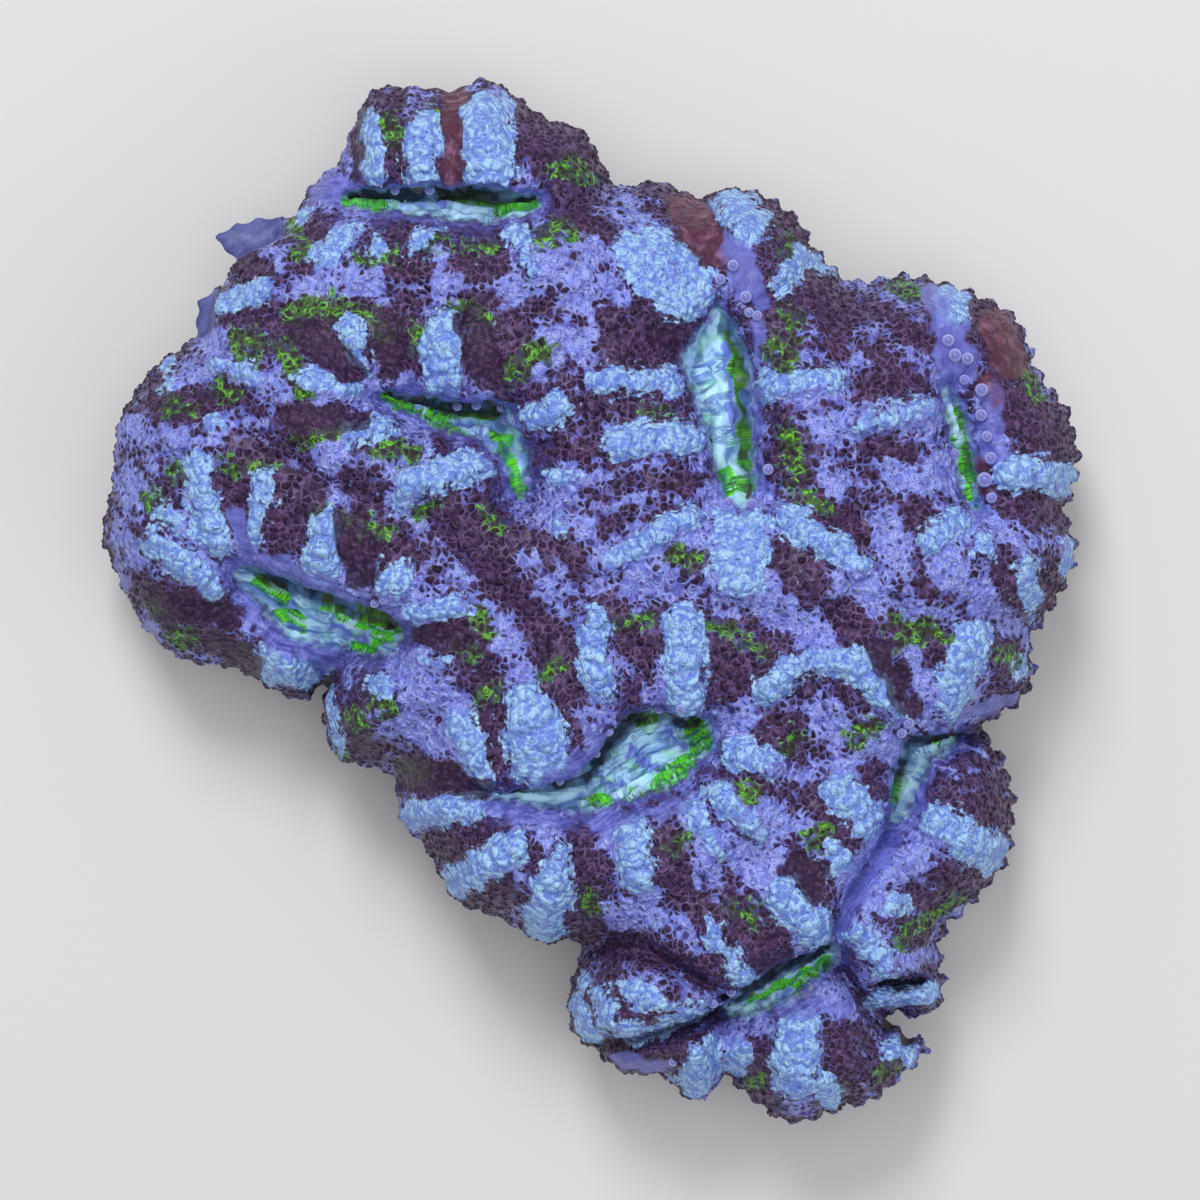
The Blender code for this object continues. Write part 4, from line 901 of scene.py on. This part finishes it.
PURPLE = linear(94, 100, 202)
DEEP_PURPLE = linear(76, 74, 152)
LILAC = linear(130, 146, 246)
# Bright lilac of the vesicles' eyes, and of the painted highlight on their rims.
RING_LILAC = linear(184, 194, 255)
# Duller lilac, for the painted rim highlight where the skin is dark.
WALL_LILAC = linear(100, 86, 154)
PIT_PURPLE = linear(84, 76, 150)
PLAIN_PURPLE = linear(92, 96, 188)
PLAIN_LILAC = linear(138, 146, 238)
THIN_BLUE = linear(78, 84, 138)
THIN_PALE = linear(104, 110, 168)
MAROON_DARK = linear(42, 26, 50)
MAROON_MID = linear(74, 51, 86)
MAROON_LIGHT = linear(112, 84, 130)
PALE_BLUE = linear(148, 195, 250)
PALE_HIGH = linear(190, 230, 255)
PALE_LOW = linear(104, 130, 224)
MINT = linear(190, 232, 252)
MINT_SHADE = linear(122, 158, 234)
MINT_GREEN = linear(144, 238, 184)
NEON_GREEN = linear(98, 226, 36)
LEAF_GREEN = linear(70, 108, 58)
LIME = linear(118, 204, 62)
OLIVE = linear(56, 66, 38)
# Dark teal, for painted shade between the pleats and under the lips.
TEAL_SHADE = linear(54, 92, 132)
RED_BROWN = linear(108, 58, 76)
PINK = linear(170, 116, 146)
# Near black, for painted shade in the mouths' gaps and in deep creases.
CREVICE_SHADE = linear(22, 18, 36)
TIP_SHADE = linear(160, 168, 232)
TIP_LIGHT = linear(196, 206, 250)
TIP_CAP = linear(120, 120, 200)
STONE_DARK = linear(158, 146, 130)
STONE_LIGHT = linear(208, 200, 186)
STONE_STAIN = linear(128, 104, 128)
STONE_GAP = linear(110, 98, 88)
STONE_PIT = linear(84, 74, 68)
# Darker brown, for painted shade in the grooves between the ribs.
STONE_GROOVE_SHADE = linear(92, 80, 74)
# Dark purple-brown, for painted shade on the skeleton under the tissue.
STONE_UNDER_SHADE = linear(66, 54, 70)
BLACK = (0.0, 0.0, 0.0, 1.0)
WHITE = (1.0, 1.0, 1.0, 1.0)
FLOOR_GREY = (0.78, 0.78, 0.78, 1.0)


# ---------------------------------------------------------------- materials
class Shader(Graph):
    """A material, and short ways to draw patterns on it."""

    def __init__(self, name):
        self.material = bpy.data.materials.new(name)
        self.material.use_nodes = True
        super().__init__(self.material.node_tree)

    def show(self, **looks):
        """Fills in the surface's inputs and returns the material."""
        surface = self.tree.nodes["Principled BSDF"]
        for name, value in looks.items():
            self.plug(surface.inputs[name.replace("_", " ")], value)
        return self.material

    def field(self, name, output="Fac"):
        return self.node("ShaderNodeAttribute", attribute_name=name).outputs[output]

    def position(self):
        return self.node("ShaderNodeTexCoord").outputs["Object"]

    def mix(self, factor, first, second):
        inputs = {"Factor": factor, 6: first, 7: second}
        return self.node("ShaderNodeMix", inputs, data_type="RGBA").outputs[2]

    def layers(self, colour, *others):
        """The colour with others laid over it in turn, each given as how much and which."""
        for factor, other in others:
            colour = self.mix(factor, colour, other)
        return colour

    def centred(self, value, amount):
        """Noise between 0 and 1, moved to lie around 0 and then scaled."""
        return self.times(self.math("SUBTRACT", value, 0.5), amount)

    def noise(self, vector, size, detail=2.0):
        inputs = {"Vector": vector, "Scale": 1.0 / size, "Detail": detail}
        return self.node("ShaderNodeTexNoise", inputs).outputs["Fac"]

    def stretch(self, vector, *scale):
        return self.node("ShaderNodeVectorMath", {0: vector, 1: scale}, operation="MULTIPLY").outputs[0]

    def split(self, colour):
        return self.node("ShaderNodeSeparateColor", {0: colour}).outputs

    def bump(self, height, strength, distance):
        inputs = {"Height": height, "Strength": strength, "Distance": distance * MM}
        return self.node("ShaderNodeBump", inputs).outputs[0]


class Tissue(Shader):
    """The live tissue: its shared patterns, and the colour of each kind of skin."""

    def __init__(self):
        super().__init__("live_tissue")
        self.skin, self.radial, self.slit = (self.field(where, "Vector")
                                             for where in ("skin", "radial", "slit"))
        self.small, self.large = (self.cells(self.skin, size) for size in (VESICLE, LUMP))
        self.luck, self.large_luck = (self.split(cells["Color"]) for cells in (self.small, self.large))
        self.fine = self.noise(self.skin, SKIN_GRAIN)
        self.patchy = self.noise(self.skin, SKIN_PATCHES, 3.0)
        self.fray = self.plus(self.centred(self.noise(self.skin, 0.55, 4.0), 0.9),
                              self.centred(self.noise(self.radial, 0.35, 3.0), 0.7))
        # Pleats on the floors of the mouths: most run along the slit, and some are turned across it.
        self.pleat, turned = (self.stretch(self.slit, *by) for by in ((0.26, 1.1, 3.0), (1.6, 0.4, 3.0)))
        turn = self.ramp(self.noise(self.slit, 2.4), 0.52, 0.62)
        self.folds = self.noise(self.mix(turn, self.pleat, turned), 0.7, 3.0)

    def frayed(self, name, amount, low, high):
        """A colour field whose edges are frayed."""
        return self.ramp(self.plus(self.field(name), self.times(self.fray, amount)), low, high)

    def ring(self, distance, radius, width):
        inner = self.ramp(distance, radius - width, radius - 0.3 * width)
        return self.times(inner, self.ramp(distance, radius + width, radius + 0.3 * width))

    def curls(self, size, width):
        """Thin winding lines, where noise passes its middle value."""
        apart = self.math("ABSOLUTE", self.math("SUBTRACT", self.noise(self.skin, size), 0.5))
        return self.ramp(apart, width, 0.3 * width)

    def vesicled_skin(self):
        """A purple or green net of vesicle walls around maroon pits, wilder away from the mouths."""
        noise, ramp, mix, plus, times = self.noise, self.ramp, self.mix, self.plus, self.times
        wild = plus(times(noise(self.radial, 2.0), 0.6), times(noise(self.skin, 3.0, 3.0), 0.4),
                    times(self.field("reach"), 0.07))
        wild = plus(ramp(wild, 0.38, 0.66, 0.15, 0.92),
                    times(self.math("SUBTRACT", self.field("maroon"), self.field("lilac")), 0.62))
        green = self.frayed("green", 1.4, 0.14, 0.58)
        darkness = ramp(green, 0.0, 1.0, plus(wild, times(self.fray, 0.6)), 0.42)
        border = self.cells(self.skin, VESICLE, "DISTANCE_TO_EDGE")["Distance"]
        edge = plus(border, self.centred(self.fine, 0.09))
        wall = ramp(plus(darkness, self.centred(self.luck[0], 0.6)), -0.1, 0.80, 0.34, -0.09)
        covered = ramp(edge, plus(wall, 0.17), plus(wall, -0.08))
        # Painted highlight: bright lines along the vesicles' rims, partly the lilac of their walls, in
        # crescents.
        highlight_crescent = ramp(noise(self.skin, 0.7), 0.36, 0.60, 0.25, 1.0)
        rim_highlight = times(ramp(edge, -0.02, 0.12), ramp(edge, 0.46, 0.12), highlight_crescent)
        heart = ramp(plus(self.small["Distance"], self.centred(self.fine, 0.2)), 0.22, 0.10)
        near = self.field("near")
        ground = self.layers(
            mix(ramp(self.patchy, 0.38, 0.62), PURPLE, LILAC),
            (times(ramp(noise(self.skin, 0.5), 0.5, 0.7), 0.35), MAROON_MID),
            (times(heart, ramp(self.luck[1], 0.45, 0.7), 0.8), RING_LILAC),
            (times(near, 0.55), DEEP_PURPLE),
            # Painted shade along the borders between the vesicles.
            (ramp(edge, 0.08, 0.0, 0.0, 0.35), DEEP_PURPLE),
            # The rims' painted highlight, duller where the skin is dark.
            (times(rim_highlight, 0.75), mix(ramp(darkness, 0.85, 0.25), WALL_LILAC, RING_LILAC)),
            (ramp(darkness, 0.45, 1.0, 0.0, 0.55), MAROON_MID))
        lit_line = times(ramp(rim_highlight, 0.3, 0.95), ramp(green, 0.45, 0.95, 0.45, 1.0))
        leafy = mix(lit_line, mix(ramp(self.patchy, 0.35, 0.6), OLIVE, LEAF_GREEN), LIME)
        pits = self.layers(
            mix(ramp(noise(self.skin, 0.8, 4.0), 0.35, 0.68), MAROON_DARK, MAROON_MID),
            # Painted highlight: lighter crescents on the rims of the maroon pits.
            (times(ramp(edge, 0.16, 0.03, 0.0, 0.9), highlight_crescent, highlight_crescent), MAROON_LIGHT),
            (ramp(plus(darkness, self.centred(self.luck[2], 0.5)), 0.40, 0.10), PIT_PURPLE),
            (times(green, 0.45), OLIVE),
            (times(near, ramp(self.luck[2], 0.3, 0.7)), DEEP_PURPLE))
        return mix(covered, pits, mix(green, ground, leafy))

    def pale_bands(self):
        """Coarse pale bubbles, some with an eye and a ring, with a painted highlight round each and painted
        shade in the creases between.
        """
        ramp, mix, times = self.ramp, self.mix, self.times
        away = self.plus(self.large["Distance"], self.centred(self.fine, 0.22))
        return self.layers(
            mix(ramp(self.patchy, 0.36, 0.64), mix(0.3, PALE_BLUE, PALE_LOW), mix(0.4, PALE_BLUE, PALE_HIGH)),
            (times(ramp(away, 0.22, 0.10), ramp(self.large_luck[1], 0.3, 0.6, 0.1, 0.7)), PALE_LOW),
            (times(self.ring(away, 0.31, 0.08), ramp(self.large_luck[0], 0.25, 0.5), 0.6), PALE_LOW),
            # Painted highlight round each bubble.
            (times(self.ring(away, 0.41, 0.10), 0.5), PALE_HIGH),
            # Painted shade between the bubbles and in the creases across the band.
            (ramp(away, 0.47, 0.62, 0.0, 0.85), PALE_LOW),
            (ramp(self.field("crease"), 0.55, 0.95, 0.0, 0.65), PALE_LOW),
            (times(self.curls(0.62, 0.05), 0.4), PALE_HIGH),
            (ramp(self.noise(self.skin, 0.40), 0.62, 0.72, 0.0, 0.8), DEEP_PURPLE))

    def with_smooth_patches(self, colour):
        """The colour with the skin that has no bubbles laid over it."""
        noise, ramp, mix, plus, times = self.noise, self.ramp, self.mix, self.plus, self.times
        maroon = mix(ramp(self.small["Distance"], 0.6, 0.2), MAROON_DARK, MAROON_MID)
        maroon = mix(ramp(self.fine, 0.5, 0.75, 0.0, 0.6), maroon, MAROON_LIGHT)
        lines = plus(times(noise(self.stretch(self.slit, 0.25, 1.0, 3.0), 0.35, 3.0), 0.7),
                     times(noise(self.radial, 0.30, 3.0), 0.3))
        lines = plus(0.5, self.centred(lines, ramp(self.field("reach"), 0.5, 0.0, 0.35, 1.0)))
        return self.layers(
            colour,
            (times(self.frayed("bare", 0.3, 0.35, 0.65), 0.85), maroon),
            (times(self.frayed("smooth", 0.35, 0.35, 0.75), 0.75),
             mix(ramp(lines, 0.38, 0.62), PLAIN_PURPLE, PLAIN_LILAC)),
            (times(self.frayed("fringe", 1.3, 0.35, 0.9), 0.5), mix(lines, DEEP_PURPLE, LILAC)),
            (times(self.frayed("thin", 0.3, 0.35, 0.75), 0.9),
             mix(ramp(self.patchy, 0.35, 0.65), THIN_BLUE, THIN_PALE)),
            (times(ramp(self.field("red"), 0.35, 0.75), ramp(self.fine, 0.3, 0.7, 0.75, 0.35)),
             mix(ramp(noise(self.skin, 1.4), 0.48, 0.72), RED_BROWN, PINK)))

    def mouth_floor(self):
        """Mint pleats with neon green ones among them, with painted shade in the gaps under the lips and
        between the pleats.
        """
        noise, ramp, mix, plus, times = self.noise, self.ramp, self.mix, self.plus, self.times
        folds = self.folds
        pleat_edge = self.cells(self.pleat, 0.85, "DISTANCE_TO_EDGE")["Distance"]
        pleat_edge = plus(pleat_edge, self.centred(folds, 0.6))
        neon, crest = (plus(self.field(name), self.centred(folds, 1.2)) for name in ("neon", "crest"))
        green_lines = ramp(noise(self.stretch(self.slit, 3.4, 1.0, 3.0), 0.5), 0.36, 0.50)
        lit_green = mix(times(ramp(folds, 0.34, 0.46), green_lines), LEAF_GREEN,
                        mix(ramp(folds, 0.66, 0.56), MINT, NEON_GREEN))
        # Painted shade under the leaning lips, broken up by noise.
        gap_shade = times(self.field("shade"), ramp(noise(self.slit, 3.0), 0.36, 0.58, 0.55, 1.0))
        return self.layers(
            mix(ramp(folds, 0.36, 0.58), MINT_SHADE, MINT),
            (ramp(noise(self.skin, 1.5), 0.52, 0.68, 0.0, 0.5), MINT_GREEN),
            (ramp(neon, 0.4, 0.6), lit_green),
            # Painted shade along the edges between pleats and in the valleys of the folds.
            (ramp(pleat_edge, 0.10, 0.0, 0.0, 0.3), TEAL_SHADE),
            (ramp(crest, 0.40, 0.0, 0.0, 0.55), TEAL_SHADE),
            (ramp(self.field("ridge"), 0.35, 0.65, 0.0, 0.85), mix(folds, PURPLE, LILAC)),
            # Painted shade: dark teal or olive towards the leaning lip, then near black right under it.
            (ramp(gap_shade, 0.05, 0.5, 0.0, 0.8), mix(ramp(neon, 0.2, 0.6), TEAL_SHADE, OLIVE)),
            (ramp(gap_shade, 0.45, 0.8, 0.0, 0.85), CREVICE_SHADE))


def tissue_material():
    s = Tissue()
    mouth, floor = s.field("mouth"), s.mouth_floor()
    pale = s.plus(s.field("pale"), s.times(s.fray, 1.6), s.times(s.field("lilac"), -0.4))
    colour = s.mix(s.ramp(pale, 0.30, 0.56), s.vesicled_skin(), s.pale_bands())
    # Painted shade in the deep creases, then the mouth floors over all.
    colour = s.layers(s.with_smooth_patches(colour),
                      (s.ramp(s.field("sunk"), 0.0, 1.0, 0.0, 0.85), CREVICE_SHADE), (mouth, floor))
    height = s.plus(s.times(s.ramp(s.small["Distance"], 0.52, 0.08), s.field("net")),
                    s.times(s.fine, 0.5),
                    s.times(s.ramp(s.large["Distance"], 0.55, 0.10), s.field("lump")),
                    s.times(s.folds, mouth, 1.8))
    # The mouth floors give off their own colour as a painted glow.
    return s.show(Base_Color=colour, Emission_Color=s.mix(mouth, BLACK, floor), Emission_Strength=MOUTH_GLOW,
                  Normal=s.bump(height, SKIN_BUMP_STRENGTH, SKIN_BUMP), Specular_IOR_Level=0.15,
                  Roughness=s.ramp(s.noise(s.skin, 0.9), 0.3, 0.7, 0.30, 0.50),
                  Coat_Weight=0.05, Coat_Roughness=0.2)


def skeleton_material():
    s = Shader("bare_skeleton")
    where = s.position()
    grain, stain = s.noise(where, STONE_GRAIN * MM, 5.0), s.noise(where, STONE_STAINS * MM, 3.0)
    granule = s.cells(where, STONE_GRANULES * MM)["Distance"]
    pits = s.ramp(s.noise(where, STONE_PITS * MM), 0.60, 0.72)
    level = s.node("ShaderNodeSeparateXYZ", {0: where}).outputs["Z"]
    # Painted shade: darker high up, where the skeleton lies under the tissue.
    under = s.ramp(s.plus(level, s.times(stain, 3.0 * MM)), *(height * MM for height in STONE_SHADE))
    colour = s.layers(
        s.mix(s.ramp(grain, 0.3, 0.7), STONE_DARK, STONE_LIGHT),
        (s.ramp(stain, 0.50, 0.66, 0.0, 0.6), STONE_STAIN),
        (s.ramp(granule, 0.45, 0.75, 0.0, 0.5), STONE_GAP),
        (s.times(pits, 0.6), STONE_PIT),
        # Painted shade in the grooves between the ribs.
        (s.ramp(s.field("rib"), 0.2, -0.7, 0.0, 0.7), STONE_GROOVE_SHADE),
        (s.times(under, 0.85), STONE_UNDER_SHADE))
    height = s.math("SUBTRACT", s.plus(grain, s.ramp(granule, 0.7, 0.1)), pits)
    return s.show(Base_Color=colour, Normal=s.bump(height, STONE_BUMP_STRENGTH, STONE_BUMP),
                  Roughness=s.ramp(grain, 0.3, 0.7, 0.75, 0.95))


def tip_material():
    s = Shader("tentacle_tip")
    mottle = s.noise(s.position(), TIP_MOTTLE * MM)
    # Painted light: pale sides, as if lit through the tip's edges, under a purple cap.
    colour = s.mix(s.ramp(s.field("cap"), 0.60, 0.88), s.mix(mottle, TIP_SHADE, TIP_LIGHT), TIP_CAP)
    return s.show(Base_Color=colour, Roughness=s.ramp(mottle, 0.3, 0.7, 0.25, 0.4), Coat_Weight=0.3)


# ---------------------------------------------------------------- pieces
def build_skin():
    points, faces, known, side = form_arrays(GRID_STEP)
    guide = mesh_object("form_guide", points, faces)
    set_attribute(guide.data, "plan", known)
    set_attribute(guide.data, "side", side)
    skin = mesh_object("skin_form", points, faces)
    add_modifier(skin, "REMESH", mode="VOXEL", voxel_size=SKIN_VOXEL * MM)
    add_modifier(skin, "SMOOTH", factor=0.5, iterations=3)
    add_modifier(skin, "NODES", node_group=carry_plan_group(guide))
    mesh = evaluated_copy(skin, "skin")
    known = read(mesh.attributes["plan"].data, "vector", 3)
    keep = (read(mesh.attributes["side"].data, "value") > 0.5) | (known[:, 2] < SKIN_TUCK)
    fields, relief, owner = skin_fields(mesh, known.astype(float))
    for name in ("skin", "net", "lump"):
        set_attribute(mesh, name, fields[name])
    set_positions(mesh, vertex_positions(mesh) + vertex_normals(mesh) * (relief * MM)[:, None])
    bubbly = place("skin_bubbles", mesh)
    add_modifier(bubbly, "NODES", node_group=bubble_group())
    final = evaluated_copy(bubbly, "skin_final")
    final.update()
    for helper in (guide, skin, bubbly):
        bpy.data.objects.remove(helper, do_unlink=True)
    return split_by_polyp(final, fields, owner, keep, tissue_material())


def build_skeleton():
    points, faces, _known, _side = form_arrays(SKELETON_STEP, CORE_DROP, CORE_EDGE_DROP)
    points[:, :2] += (points[:, :2].mean(axis=0) - points[:, :2]) * CORE_SHRINK
    form = mesh_object("skeleton_form", points, faces)
    add_modifier(form, "REMESH", mode="VOXEL", voxel_size=SKELETON_VOXEL * MM)
    mesh = evaluated_copy(form, "skeleton")
    bpy.data.objects.remove(form, do_unlink=True)
    positions = vertex_positions(mesh)
    loop, plan = edge_loop(), positions[:, :2] / MM
    depth = nearest_on_path(plan, loop, closed=True)[0]
    rib = 1.0 - 2.0 * np.abs(np.sin(math.pi * rib_count(plan, loop)))
    push = RIB_CREST * MM * rib * smoothstep(1.0, 2.0, depth)
    positions[:, :2] += vertex_normals(mesh)[:, :2] * push[:, None]
    positions[:, 2] = np.maximum(positions[:, 2], 0.0)
    set_positions(mesh, positions)
    set_attribute(mesh, "rib", rib)
    dress(mesh, skeleton_material())
    return place("skeleton", mesh)


def build_tips(pieces):
    """Round tentacle tips along the mouths, set on the skin below them."""
    bpy.ops.mesh.primitive_ico_sphere_add(subdivisions=3, radius=1.0)
    ball = bpy.context.object
    template = vertex_positions(ball.data)
    faces = np.array([face.vertices[:] for face in ball.data.polygons])
    bpy.data.objects.remove(ball, do_unlink=True)
    bpy.context.view_layer.update()
    all_points, all_faces, caps = [], [], []
    for x, y, share in TIPS:
        start = Vector((x, y, RAY_START)) * MM
        hits = [piece.ray_cast(start, Vector((0, 0, -1))) for piece in pieces]
        tops = [spot.z / MM for hit, spot, _normal, _face in hits if hit]
        if tops:
            radius = TIP_RADIUS * share
            centre = np.array([x, y, max(tops) + TIP_LIFT * radius])
            all_points.append(template * radius * np.array([1.0, 1.0, TIP_STRETCH]) + centre)
            all_faces.append(faces + len(template) * len(all_faces))
            caps.append(template[:, 2])
    tips = mesh_object("tentacle_tips", np.concatenate(all_points), np.concatenate(all_faces))
    # Height on each ball, for the painted light on the tips' sides.
    set_attribute(tips.data, "cap", np.concatenate(caps))
    dress(tips.data, tip_material())
    return tips


# ---------------------------------------------------------------- studio, in metres
FLOOR_SIZE = 1.6
LENS, SENSOR = 150.0, 36.0  # the camera's, in millimetres
VIEW_WIDTH = 0.108          # how much the picture shows across, at the level below
FOCUS_LEVEL = 0.012
VIEW_CENTRE = (0.00072, 0.0)
AIM = (0.0, 0.0, 0.01)      # where the lights point
CLIP = (0.01, 10.0)
WORLD_LIGHT = 0.30
# Each light: name, place, size, power in watts.
LIGHTS = [
    ("key", (-0.10, 0.40, 0.60), 0.22, 2.4),
    ("fill", (0.45, -0.25, 0.45), 0.5, 0.7),
    ("overhead", (0.0, 0.0, 0.9), 0.7, 2.1),
]


def build_stage():
    half = FLOOR_SIZE / 2.0
    mesh = bpy.data.meshes.new("floor")
    corners = [(-half, -half, 0), (half, -half, 0), (half, half, 0), (-half, half, 0)]
    mesh.from_pydata(corners, [], [(0, 1, 2, 3)])
    floor = place("floor", mesh)
    mesh.materials.append(Shader("pale_floor").show(Base_Color=FLOOR_GREY, Roughness=0.9))


def build_camera():
    data = bpy.data.cameras.new("camera")
    data.lens, data.sensor_width = LENS, SENSOR
    data.clip_start, data.clip_end = CLIP
    camera = place("camera", data)
    camera.location = (*VIEW_CENTRE, FOCUS_LEVEL + VIEW_WIDTH * LENS / SENSOR)
    camera.rotation_euler = (0.0, 0.0, 0.0)
    bpy.context.scene.camera = camera


def build_lights():
    for name, location, size, power in LIGHTS:
        data = bpy.data.lights.new(name, "AREA")
        data.size, data.energy = size, power
        light = place(name, data)
        light.location = location
        light.rotation_euler = (Vector(AIM) - Vector(location)).to_track_quat("-Z", "Y").to_euler()
    world = bpy.data.worlds.new("studio")
    world.use_nodes = True
    background = world.node_tree.nodes["Background"]
    background.inputs["Color"].default_value = WHITE
    background.inputs["Strength"].default_value = WORLD_LIGHT
    bpy.context.scene.world = world


skin_pieces = build_skin()
skeleton = build_skeleton()
tips = build_tips(skin_pieces)
for piece in skin_pieces + [tips]:
    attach(piece, "root")
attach(skeleton, "root")
for piece in skin_pieces:
    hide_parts("acan_colony")
build_stage()
build_camera()
build_lights()
bpy.context.scene.view_settings.view_transform = "Standard"
